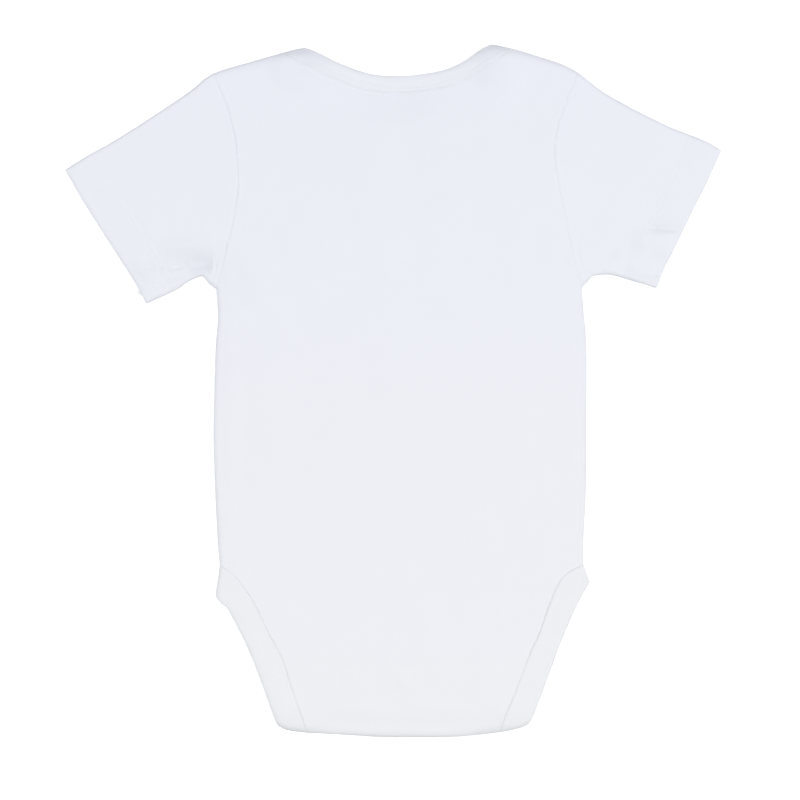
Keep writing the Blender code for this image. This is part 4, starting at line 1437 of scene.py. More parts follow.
@dataclass(frozen=True)
class Knit:
    """Fine cotton knit: chains of slanting loops, matt and faintly fuzzy, with painted shade and a
    painted light tint in its colour.
    """

    name: str
    # crest and crevice: the darker crevice colour is painted shade in the grooves between the loops
    crest: Colour
    crevice: Colour
    wale: float = 0.00082
    course: float = 0.00066
    lean: float = 1.15
    rib: float = 0.0  # pitch of the ribs, or 0 for plain knit
    rib_share: float = 0.22
    relief: float = 0.00009
    strength: float = 0.55
    mottle_scale: float = 34.0
    mottle_share: float = 0.25
    fuzz_scale: float = 2600.0
    fuzz_share: float = 0.3
    # rate, warm and cool tints: a painted tint of the light, warm towards the crotch and cool towards
    # the neck
    light_tint_rate: float = 2.4
    warm_light_tint: Colour = (1.015, 1.015, 0.987)
    cool_light_tint: Colour = (0.985, 0.988, 1.014)
    # colour of the painted shade where it is full
    painted_shade_tone: Colour = (0.72, 0.74, 0.78)

    def material(self) -> Material:
        """Make the finish.

        Returns:
            The material.
        """
        recipe = Recipe(self.name)
        across, along = recipe.cut_place()
        leg = recipe.off_middle(recipe.math("FRACT", recipe.scaled(across, 2.0 / self.wale)))
        wale = recipe.off_middle(recipe.math("FRACT", recipe.scaled(across, 1.0 / self.wale)))
        slant = recipe.scaled(wale, self.lean)
        row = recipe.math("ADD", recipe.scaled(along, 1.0 / self.course), slant)
        loop = recipe.off_middle(recipe.math("FRACT", row))
        height = recipe.math("MULTIPLY", recipe.dome(leg), recipe.dome(loop))
        if self.rib:
            rib = recipe.math("SINE", recipe.scaled(across, 2.0 * math.pi / self.rib))
            height = recipe.math("ADD", height, recipe.scaled(rib, self.rib_share))
        fuzz = recipe.scaled(recipe.noise(self.fuzz_scale), self.fuzz_share)
        height = recipe.math("ADD", height, fuzz)
        mottle = recipe.scaled(recipe.noise(self.mottle_scale, detail=3.0), self.mottle_share)
        shade = recipe.math("ADD", recipe.scaled(height, 1.0 - self.mottle_share), mottle)
        # painted shade: the loops' grooves take the crevice colour, with a random mottle mixed in
        colour = recipe.times(recipe.tint(shade, self.crevice, self.crest), self.drift(recipe))
        # the marked painted shade darkens the colour
        recipe.colour(recipe.times(colour, self.painted_shades(recipe)))
        recipe.bump(height, self.relief, self.strength)
        recipe.set(Roughness=0.92, Sheen_Weight=0.03, Sheen_Roughness=0.5, Specular_IOR_Level=0.12)
        return recipe.material

    def drift(self, recipe: Recipe) -> Socket:
        """Painted tint of the light: faintly warm towards the crotch, faintly cool towards the neck.

        Args:
            recipe: The recipe that it is added to.

        Returns:
            The tint.
        """
        place = recipe.node("ShaderNodeTexCoord")
        parts = recipe.node("ShaderNodeSeparateXYZ")
        recipe.feed(parts.inputs[0], place.outputs["Object"])
        share = recipe.math("ADD", recipe.scaled(parts.outputs["Y"], self.light_tint_rate), 0.5)
        return recipe.tint(share, self.warm_light_tint, self.cool_light_tint)

    def painted_shades(self, recipe: Recipe) -> Socket:
        """Painted shade: how the colour darkens where the piece's attribute marks shade."""
        mark = recipe.node("ShaderNodeAttribute", attribute_name=SHADE_LAYER)
        return recipe.tint(mark.outputs["Fac"], (1.0, 1.0, 1.0), self.painted_shade_tone)


@dataclass(frozen=True)
class Thread:
    """Two-ply sewing thread with a faint twist and shine."""

    name: str = "sewing_thread"
    # light and dark: the dark colour is painted shade in the grooves between the plies
    light: Colour = (0.74, 0.75, 0.8)
    dark: Colour = (0.62, 0.63, 0.68)
    ply: float = 0.00055
    lean: float = 2.0
    relief: float = 0.00004
    strength: float = 0.5
    fuzz_scale: float = 3200.0
    fuzz_share: float = 0.2

    def material(self) -> Material:
        """Make the finish.

        Returns:
            The material.
        """
        recipe = Recipe(self.name)
        along, around = recipe.cut_place()
        twist = recipe.scaled(along, 1.0 / self.ply)
        twist = recipe.math("ADD", twist, recipe.scaled(around, self.lean))
        strand = recipe.dome(recipe.off_middle(recipe.math("FRACT", twist)))
        fuzz = recipe.scaled(recipe.noise(self.fuzz_scale), self.fuzz_share)
        strand = recipe.math("ADD", strand, fuzz)
        # painted shade: the grooves of the twist take the dark colour
        recipe.colour(recipe.tint(strand, self.dark, self.light))
        recipe.bump(strand, self.relief, self.strength)
        recipe.set(Roughness=0.62, Sheen_Weight=0.03, Specular_IOR_Level=0.2)
        return recipe.material


@dataclass(frozen=True)
class Lacquer:
    """White lacquer baked on a pressed metal snap."""

    name: str = "snap_lacquer"
    fresh: Colour = (0.86, 0.86, 0.88)
    rubbed: Colour = (0.78, 0.78, 0.79)
    wear_scale: float = 900.0
    smooth: float = 0.26  # roughness where the lacquer is fresh
    scuffed: float = 0.16  # how much rougher it gets
    pitting_scale: float = 1800.0
    pitting: float = 0.00002

    def material(self) -> Material:
        """Make the finish.

        Returns:
            The material.
        """
        recipe = Recipe(self.name)
        wear = recipe.noise(self.wear_scale, detail=4.0)
        recipe.colour(recipe.tint(wear, self.rubbed, self.fresh))
        rough = recipe.math("ADD", self.smooth, recipe.scaled(wear, self.scuffed))
        recipe.feed(recipe.shader.inputs["Roughness"], rough)
        recipe.bump(recipe.noise(self.pitting_scale), self.pitting, strength=0.3)
        recipe.set(Coat_Weight=0.35, Coat_Roughness=0.15)
        return recipe.material


@dataclass(frozen=True)
class PaleFloor:
    """A plain pale studio floor."""

    name: str = "pale_floor"
    colour: Colour = (0.93, 0.93, 0.935)
    other: Colour = (0.915, 0.915, 0.92)
    patches: float = 3.0
    glow: float = 0.2

    def material(self) -> Material:
        """Make the finish.

        Returns:
            The material.
        """
        recipe = Recipe(self.name)
        recipe.colour(recipe.tint(recipe.noise(self.patches), self.other, self.colour))
        recipe.shader.inputs["Emission Color"].default_value = (1.0, 1.0, 1.0, 1.0)
        recipe.set(Roughness=0.95, Specular_IOR_Level=0.1, Emission_Strength=self.glow)
        return recipe.material


# ---- stitches


@dataclass
class Stitch:
    """One stitch of thread: a short arched run whose ends dive into the cloth."""

    length: float = 0.0022
    radius: float = 0.00013
    sides: int = 6
    arch: float = 0.00008
    bury: float = 0.00026
    slim: float = 0.35  # share by which it slims towards its ends
    cuts: tuple[float, ...] = (-0.36, -0.18, 0.0, 0.18, 0.36)
    points: Points = field(init=False)
    faces: list[tuple[int, ...]] = field(init=False)
    places: Points = field(init=False)

    def __post_init__(self) -> None:
        """Model the stitch once, along X with its arch up."""
        deselect_all()
        bpy.ops.mesh.primitive_cylinder_add(
            vertices=self.sides, radius=self.radius, depth=self.length, end_fill_type="NGON"
        )
        piece = bpy.context.active_object
        bpy.ops.object.mode_set(mode="EDIT")
        for cut in self.cuts:
            bpy.ops.mesh.select_all(action="SELECT")
            bpy.ops.mesh.bisect(plane_co=(0.0, 0.0, cut * self.length), plane_no=(0.0, 0.0, 1.0))
        bpy.ops.object.mode_set(mode="OBJECT")
        mesh = piece.data
        count = len(mesh.vertices)
        upright = np.empty(count * 3)
        mesh.vertices.foreach_get("co", upright)
        upright = upright.reshape(-1, 3)
        share = upright[:, 2] / (self.length / 2)
        taper = 1.0 - self.slim * share ** 4
        rise = self.arch * (1.0 - share ** 2) - self.bury * share ** 4
        across, up = upright[:, 0] * taper, upright[:, 1] * taper
        self.points = np.column_stack([upright[:, 2], across, up + rise])
        self.faces = [tuple(face.vertices) for face in mesh.polygons]
        turn = np.arctan2(upright[:, 1], upright[:, 0]) / (2.0 * math.pi)
        self.places = np.column_stack([upright[:, 2], turn])
        bpy.data.objects.remove(piece)
        bpy.data.meshes.remove(mesh)


class StitchPath(NamedTuple):
    """Where a row of stitches runs: its points, and the way out of the cloth."""

    points: Points
    outward: Points


@dataclass
class Stitching:
    """A joined row or rows of stitches."""

    name: str
    stitch: Stitch
    pitch: float = 0.0027
    sink: float = 0.00007
    jitter: float = 0.00005  # how far stitches stray along the row
    sway: float = 0.00006  # and to its sides
    turn: float = 0.02  # and how far they turn
    seed: int = 3

    def lay(self, paths: list[StitchPath], finish: Material) -> Piece:
        """Lay copies of the stitch along each path.

        Args:
            paths: The rows.
            finish: The thread's material.

        Returns:
            One object that holds all the stitches.
        """
        random = np.random.default_rng(self.seed)
        points, faces, places = [], [], []
        for path in paths:
            marks = lengths_along(path.points)
            count = max(int(marks[-1] / self.pitch), 1)
            middles = (np.arange(count) + 0.5) * marks[-1] / count
            middles = middles + random.normal(0.0, self.jitter, count)
            for middle in middles:
                origin, along, across, out = self._frame(path, marks, middle, random)
                base = sum(len(block) for block in points)
                run, side, rise = np.hsplit(self.stitch.points, 3)
                points.append(origin + run * along + side * across + rise * out)
                faces += [tuple(base + corner for corner in face) for face in self.stitch.faces]
                places.append(self.stitch.places)
        mesh = bpy.data.meshes.new(self.name)
        mesh.from_pydata(np.vstack(points).tolist(), [], faces)
        cut = mesh.uv_layers.new(name=CUT_MAP)
        corners = np.empty(len(mesh.loops), dtype=np.int32)
        mesh.loops.foreach_get("vertex_index", corners)
        cut.data.foreach_set("uv", np.vstack(places)[corners].astype(np.float32).ravel())
        mesh.shade_smooth()
        mesh.materials.append(finish)
        return placed(self.name, mesh)

    def _frame(
        self, path: StitchPath, marks: Numbers, middle: float, random: np.random.Generator
    ) -> tuple[Points, Points, Points, Points]:
        """Place and directions of one stitch.

        Args:
            path: The row.
            marks: Lengths along its points.
            middle: The stitch's place along it.
            random: Source of its small errors.

        Returns:
            The stitch's origin, and its directions along, across and out.
        """
        def read(values: Points, mark: float) -> Points:
            """The value of a column of vectors at a length along the path."""
            return np.array([np.interp(mark, marks, values[:, axis]) for axis in range(3)])

        half = self.stitch.length / 2
        along = read(path.points, middle + half) - read(path.points, middle - half)
        along = along / np.linalg.norm(along)
        out = read(path.outward, middle)
        out = out - along * (out @ along)
        out = out / np.linalg.norm(out)
        across = np.cross(out, along)
        sway = random.normal(0.0, self.sway)
        origin = read(path.points, middle) - out * self.sink + across * sway
        turn = random.normal(0.0, self.turn)
        along, across = along + across * turn, across - along * turn
        return origin, along, across, out


def outward_of(row: Points, beyond: Points, flip: bool) -> Points:
    """Directions out of the cloth along a row, from the row beyond it.

    Args:
        row: The row's points.
        beyond: Their neighbours in the next row.
        flip: Whether the way out is the other way round.

    Returns:
        A direction for each point.
    """
    along = np.gradient(row, axis=0)
    out = np.cross(along, beyond - row)
    out = out / np.maximum(np.linalg.norm(out, axis=1, keepdims=True), TINY)
    return -out if flip else out


# ---- pieces


@dataclass
class Wardrobe:
    """What all pieces share: the lines, the lie and the finishes."""

    left: Half
    right: Half
    lie: Lie
    jersey: Material
    rib: Material
    thread: Material
    stitch: Stitch
    neck_edge: Line = field(init=False)
    neck_seam: Line = field(init=False)
    neck_end: float = 0.0125  # of the neckline, where its seam swings out to the fold
    neck_turns: int = 9

    def __post_init__(self) -> None:
        """Work out the back neckline's edge and seam."""
        self.neck_edge = Line(NECK_EDGE)
        marks = np.linspace(self.neck_end, self.neck_edge.length - self.neck_end, self.neck_turns)
        inner = self.neck_edge.beside(marks, -NECK_BAND_WIDTH)
        corners = (self.left.neck_corner, self.right.neck_corner)
        self.neck_seam = Line(np.vstack([corners[0], inner, corners[1]]))

    def neck_corners(self) -> Rounds:
        """The two humps where laps and straps are stacked beside the neck."""
        return Rounds(NECK_HUMPS, NECK_HUMP_REACH, NECK_HUMP_HEIGHT)

    def neck_rows(self) -> tuple[Points, Points]:
        """Seam and edge points of the back neck band, from fold to fold."""
        return self.neck_seam.row(NECK_COLUMNS), self.neck_edge.row(NECK_COLUMNS)

    def front_neck(self, clear: float) -> tuple[Points, Points]:
        """Seam and edge points of the front neckline, between the armholes.

        Args:
            clear: How far the points start and end from the armhole seams.

        Returns:
            The seam points and the edge points.
        """
        left, right = (
            np.vstack([half.down_armhole(STRAP_EDGE_ON_ARMHOLE), half.hand.column(FRONT_NECK_SIDES)])
            for half in (self.left, self.right)
        )
        edge = Line(np.vstack([left, FRONT_NECK_MIDDLE, right[::-1]]))
        end = edge.length * STRAP_END_SHARE
        marks = np.linspace(end, edge.length - end, FRONT_NECK_TURNS)
        inner = edge.beside(marks, -NECK_BAND_WIDTH)
        first, last = (half.down_armhole(STRAP_SEAM_ON_ARMHOLE) for half in (self.left, self.right))
        seam = Line(np.vstack([first, inner, last]))
        rows = []
        for line in (seam, edge):
            marks = stations(line.length - 2 * clear, FRONT_COLUMNS, FOLD_STEPS, FOLD_STEPS)
            rows.append(line.at(marks + clear))
        return rows[0], rows[1]

    def band_plan(self, seams: Points, edges: Points, across: Numbers) -> Points:
        """Rows of points across a band, from its seam to its free edge.

        Args:
            seams: Points along the seam.
            edges: Their partners on the free edge.
            across: Shares of the width.

        Returns:
            The points in plan.
        """
        away = edges - seams
        away = away / np.linalg.norm(away, axis=-1, keepdims=True)
        starts = seams + away * self.lie.seam_room(seams)[:, None]
        return starts[:, None] + (edges - starts)[:, None] * across[:, None]


def mark_painted_shade(piece: Piece, painted_shades: tuple[Crease, ...]) -> None:
    """Write on a piece how much painted shade each of its points gets, from 0 to 1.

    Args:
        piece: The piece.
        painted_shades: The places of painted shade, with shares for heights.
    """
    points = np.empty(len(piece.data.vertices) * 3)
    piece.data.vertices.foreach_get("co", points)
    height = CreaseField(painted_shades).height(points.reshape(-1, 3)[:, :2])
    share = height / MM  # the last number of each place of painted shade is a share, not a length
    marks = piece.data.attributes.new(SHADE_LAYER, "FLOAT", "POINT")
    marks.data.foreach_set("value", np.clip(share, 0.0, 1.0).astype(np.float32))


def dress(piece: Piece, finish: Material, slot: str, *nodes: str) -> None:
    """Give a piece its material and its body, and hide the nodes that it stands for.

    Args:
        piece: The piece.
        finish: Its material.
        slot: Not used.
        nodes: The nodes that it replaces.
    """
    if not piece.data.materials:
        piece.data.materials.append(finish)
    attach(piece, BODY)
    if nodes:
        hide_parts(*nodes)
    count = sum(len(face.vertices) - 2 for face in piece.data.polygons)
    log.info("%s: %d triangles", piece.name, count)


class ClothPiece:
    """What all pieces of cloth share: how one is built, stitched and dressed."""

    shop: Wardrobe
    node: str
    flat: tuple[float, float]  # width and length of the flat cut
    area: float | None = None  # its area, where it isn't a rectangle
    slot: str = "jersey"
    rests_on: str = "front_panel_cloth"
    # places of painted shade, written on the piece
    painted_shades: tuple[Crease, ...] = ()
    stitches_name: str = ""  # name of its stitches, if it has any
    stitches_seed: int = 42

    def grids(self) -> list[Grid]:
        """The piece's stretches of cloth."""
        raise NotImplementedError

    def stitch_paths(self, cloth: Grid) -> list[StitchPath]:
        """The rows of stitches along the piece."""
        raise NotImplementedError

    def build(self) -> Piece:
        """Build and dress the piece, then its stitches.

        Returns:
            The dressed piece.
        """
        shop, grids = self.shop, self.grids()
        piece = ClothWall(f"{self.node}_cloth", grids).build()
        # write the painted shade onto the piece
        if self.painted_shades:
            mark_painted_shade(piece, self.painted_shades)
        dress(piece, shop.rib if self.slot == "binding" else shop.jersey, self.slot, self.node)
        stitches = []
        if self.stitches_name:
            rows = Stitching(self.stitches_name, shop.stitch, seed=self.stitches_seed)
            stitches.append(rows.lay(self.stitch_paths(grids[0]), shop.thread))
            dress(stitches[0], shop.thread, self.slot)
        return piece


# How strongly each seam shows, at shares of its length.
LEFT_ARMHOLE_SHOWS = (
    (0.0, 0.6), (0.3, 0.6), (0.36, 0.3), (0.46, 1.3), (0.6, 1.0), (0.67, 2.3), (0.78, 1.2), (0.88, 0.8),
    (1.0, 0.7),
)
RIGHT_ARMHOLE_SHOWS = (
    (0.0, 0.1), (0.35, 0.2), (0.45, 0.7), (0.57, 0.9), (0.66, 0.8), (0.76, 0.7), (0.81, 1.4),
    (0.87, 0.6), (1.0, 0.1),
)
LEFT_LEG_SHOWS = (
    (0.0, 0.7), (0.12, 0.8), (0.24, 0.2), (0.34, 1.1), (0.41, 0.9), (0.46, 0.1), (0.53, 0.8),
    (0.6, 0.5), (0.72, 0.4), (0.81, 1.1), (0.87, 0.1), (1.0, 0.0),
)
RIGHT_LEG_SHOWS = (
    (0.0, 0.8), (0.07, 1.5), (0.19, 1.5), (0.26, 0.5), (0.34, 0.1), (0.4, 0.4), (0.48, 1.8),
    (0.53, 1.0), (0.66, 1.6), (0.74, 2.7), (0.79, 2.0), (0.87, 0.8), (1.0, 0.1),
)
NECK_SEAM_DEPTH = 0.00004
NECK_SEAM_SHOWS = (
    (0.0, 0.1), (0.22, 0.2), (0.36, 0.9), (0.5, 1.0), (0.66, 0.7), (0.8, 0.2), (1.0, 0.1),
)


def neck_groove(seam: Line) -> Grooves:
    """The groove of the stitches past a neck band's seam, face down."""
    return Grooves(seam, (NECK_NEEDLE_ON_PANEL,), UNDER_GROOVE, UNDER_GROOVE_REACH)


@dataclass
class BackPanel(ClothPiece):
    """The back: crotch tab, fold, main leaf and the two shoulder laps."""

    shop: Wardrobe
    node: str = "back_panel"
    flat: tuple[float, float] = (0.224, 0.492)
    area: float = 0.088
    painted_shades: tuple[Crease, ...] = BACK_PAINTED_SHADE

    def relief(self) -> Forms:
        """Everything that raises or sinks the upper face.

        Returns:
            The forms of relief.
        """
        shop = self.shop
        snaps = [SNAP_CENTRE_X + step * SNAP_SPACING for step in (-1, 0, 1)]
        return (
            Unevenness(),
            CreaseField(BACK_CREASES),
            Rounds(np.array([(x, SNAP_Y) for x in snaps]), SNAP_SHOW_REACH, SNAP_SHOW_HEIGHT),
            SeamRoll(shop.left.armhole, strengths=LEFT_ARMHOLE_SHOWS, seed=11),
            SeamRoll(shop.right.armhole, strengths=RIGHT_ARMHOLE_SHOWS, seed=12),
            SeamRoll(shop.left.leg_seam, strengths=LEFT_LEG_SHOWS, pucker=0.0001, seed=13),
            SeamRoll(shop.right.leg_seam, strengths=RIGHT_LEG_SHOWS, pucker=0.0001, seed=14),
            SeamRoll(shop.neck_seam, depth=NECK_SEAM_DEPTH, strengths=NECK_SEAM_SHOWS, seed=15),
            Grooves(shop.neck_seam, (NECK_NEEDLE_ON_PANEL,), depth=0.00018, reach=0.0006),
            shop.neck_corners(),
        )

    def lap(self, half: Half, top: Points) -> Grid:
        """One lap, from the shoulder fold down to its band.

        Args:
            half: The lap's half.
            top: Its points on the shoulder fold, from the armhole.

        Returns:
            The stretch of cloth.
        """
        shop = self.shop
        tops = half.shoulder.at(half.shoulder_marks())
        across = shares(tops)
        seam = half.lap_seam.at(half.lap_seam.length * (1.0 - across))
        lows = inset(seam, SEAM_GAP / 2 * half.hand.inward)
        lows[-1] = tops[-1]
        marks = stations(LAP_SEAM_ON_ARMHOLE, LAP_ROWS, FOLD_STEPS, SEAM_STEPS)
        rise = (marks / LAP_SEAM_ON_ARMHOLE)[:, None, None]
        plan = tops * (1 - rise) + lows * rise
        gap = -SEAM_GAP / 2 * half.hand.inward
        edge = half.armhole.beside(half.armhole.length - marks, gap)
        plan = plan + (edge - plan[:, 0])[:, None] * (1.0 - across)[None, :, None]
        under = shop.lie.lower(plan, (neck_groove(half.lap_seam),))
        rows = np.concatenate([shop.lie.fold_rows(top, 1.0, 0.0, -1.0), under[1:]])
        return Grid(rows, CLOTH, flip=not half.is_left)

    def grids(self) -> list[Grid]:
        """The panel's stretches of cloth.

        Returns:
            The main leaf with its tab, and both laps.
        """
        shop = self.shop
        left, right, lie = shop.left, shop.right, shop.lie
        edges = []
        for half in (left, right):
            armhole = half.armhole.row(ARMHOLE_ROWS)
            edges.append(half.panel_edge(half.leg_seam.row(LEG_ROWS), armhole))
        lefts, rights = edges
        left_top = left.shoulder.at(left.shoulder_marks())
        right_top = right.shoulder.at(right.shoulder_marks())[::-1]
        seams, _edges = shop.neck_rows()
        neck = (seams + (inset(seams, -1.0) - seams) * lie.seam_room(seams)[:, None])[1:-1]
        top = np.vstack([left_top, neck, right_top])
        top[0], top[-1] = lefts[-1], rights[-1]
        fold = Line(CROTCH_FOLD)
        across = shares(top)
        bottom = fold.at(SEAM_GAP / 2 + (fold.length - SEAM_GAP) * across)
        bottom[0], bottom[-1] = lefts[0], rights[0]
        leaf = patch(lefts, rights, bottom, top)
        rows = lie.upper(leaf, self.relief())
        rows[0] = lie.fold_row(bottom, 1.0)
        shoulder = len(left_top)
        ends = np.r_[0:shoulder, len(top) - shoulder:len(top)]
        rows[-1, ends] = lie.fold_row(top[ends], 1.0)
        first = LEG_ROWS + 2 * len(FOLD_STEPS) - 2
        last = first + SIDE_ROWS + 2 * len(FOLD_STEPS) - 2
        rows = self.with_side_seams(rows, leaf, first, last, 1.0)
        tab = self.tab(bottom, across)
        grids = [Grid(np.concatenate([tab, rows]), CLOTH, free=(Rim.FIRST_ROW,))]
        grids.append(self.lap(left, top[:shoulder]))
        grids.append(self.lap(right, top[:-shoulder - 1:-1]))
        return grids

    def with_side_seams(
        self, rows: Points, leaf: Points, first: int, last: int, turn: float
    ) -> Points:
        """Rows whose side edges end in a short upright drop to the side seam.

        Args:
            rows: The leaf's points in space.
            leaf: The same points in plan.
            first: First row on the side fold.
            last: Last row on the side fold.
            turn: +1 for the upper leaf, -1 for the lower one.

        Returns:
            The rows with one more column at each side.
        """
        lie = self.shop.lie
        seam = turn * SEAM_GAP / FOLD_DROP
        columns = []
        for column in (0, -1):
            edge = rows[:, column].copy()
            span = slice(first, last + 1)
            rows[span, column] = lie.fold_row(leaf[span, column], turn)
            edge[span] = lie.fold_row(leaf[span, column], seam)
            columns.append(edge[:, None])
        return np.concatenate([columns[0], rows, columns[1]], axis=1)

    def tab(self, bottom: Points, across: Numbers) -> Points:
        """The crotch tab, from its end to the crotch fold.

        Args:
            bottom: The crotch fold's points.
            across: Their shares of its length.

        Returns:
            The tab's rows in space.
        """
        shop = self.shop
        edges = []
        for half in (shop.left, shop.right):
            marks = stations(half.tab_leg.length, TAB_ROWS, FOLD_STEPS, rim_steps(CLOTH))
            edges.append(inset(half.tab_leg.at(marks), -SEAM_GAP / 2 * half.hand.inward))
        lefts, rights = edges
        end = lefts[-1] + (rights[-1] - lefts[-1]) * across[:, None]
        lefts[0], rights[0] = bottom[0], bottom[-1]
        under = patch(lefts, rights, bottom, end)
        rows = shop.lie.lower(under, (), shop.lie.tab_level(under.reshape(-1, 2)))
        rows = np.concatenate([rows[:0:-1], shop.lie.fold_rows(bottom, -1.0, 0.0)])
        return np.concatenate([rows[:, :1], rows, rows[:, -1:]], axis=1)


@dataclass
class FrontPanel(BackPanel):
    """The front: crotch flap, main leaf and the two straps."""

    node: str = "front_panel"
    flat: tuple[float, float] = (0.224, 0.368)
    area: float = 0.069
    painted_shades: tuple[Crease, ...] = ()
    rests_on: str = "studio_floor"
    thinning: int = 3  # of its neck points, one in this many draws the groove

    def relief(self) -> Forms:
        """Everything that lifts the lower face off the ground.

        Returns:
            The forms of relief.
        """
        shop = self.shop
        return (
            neck_groove(Line(shop.front_neck(0.0)[0][::self.thinning])),
            CreaseField(FRONT_CREASES),
            SeamRoll(shop.left.front_leg, swell=0.0, pucker=0.0001, seed=21),
            SeamRoll(shop.right.front_leg, swell=0.0, pucker=0.0001, seed=22),
            SeamRoll(shop.left.armhole, swell=0.0, pucker=0.00006, seed=23),
            SeamRoll(shop.right.armhole, swell=0.0, pucker=0.00006, seed=24),
        )

    def grids(self) -> list[Grid]:
        """Lay out the panel's one stretch of cloth.

        Returns:
            That stretch.
        """
        shop = self.shop
        edges = []
        for half in (shop.left, shop.right):
            length = half.armhole.length - STRAP_SEAM_ON_ARMHOLE
            armhole = half.armhole.at(stations(length, ARMHOLE_ROWS, FOLD_STEPS, SEAM_STEPS))
            steps = rim_steps(CLOTH)
            marks = stations(half.front_leg.length, FRONT_LEG_ROWS, FOLD_STEPS, steps)
            edges.append(half.panel_edge(half.front_leg.at(marks[::-1]), armhole))
        lefts, rights = edges
        seams, _edges = shop.front_neck(0.0)
        top = inset(seams, -SEAM_GAP / 2)
        top[0], top[-1] = lefts[-1], rights[-1]
        bottom = lefts[0] + (rights[0] - lefts[0]) * shares(top)[:, None]
        leaf = patch(lefts, rights, bottom, top)
        level = shop.lie.front_level(leaf.reshape(-1, 2))
        rows = shop.lie.lower(leaf, self.relief(), level)
        first = len(marks) - 1
        last = first + SIDE_ROWS + 2 * len(FOLD_STEPS) - 2
        rows = self.with_side_seams(rows, leaf, first, last, -1.0)
        return [Grid(rows, CLOTH, flip=True, free=(Rim.FIRST_ROW,))]


@dataclass
class HalfPiece(ClothPiece):
    """A piece that each half of the garment has."""

    shop: Wardrobe
    half: Half
    kind: str = ""

    @property
    def node(self) -> str:
        """The node that it replaces."""
        return f"{self.kind}_{self.half.hand.value}"


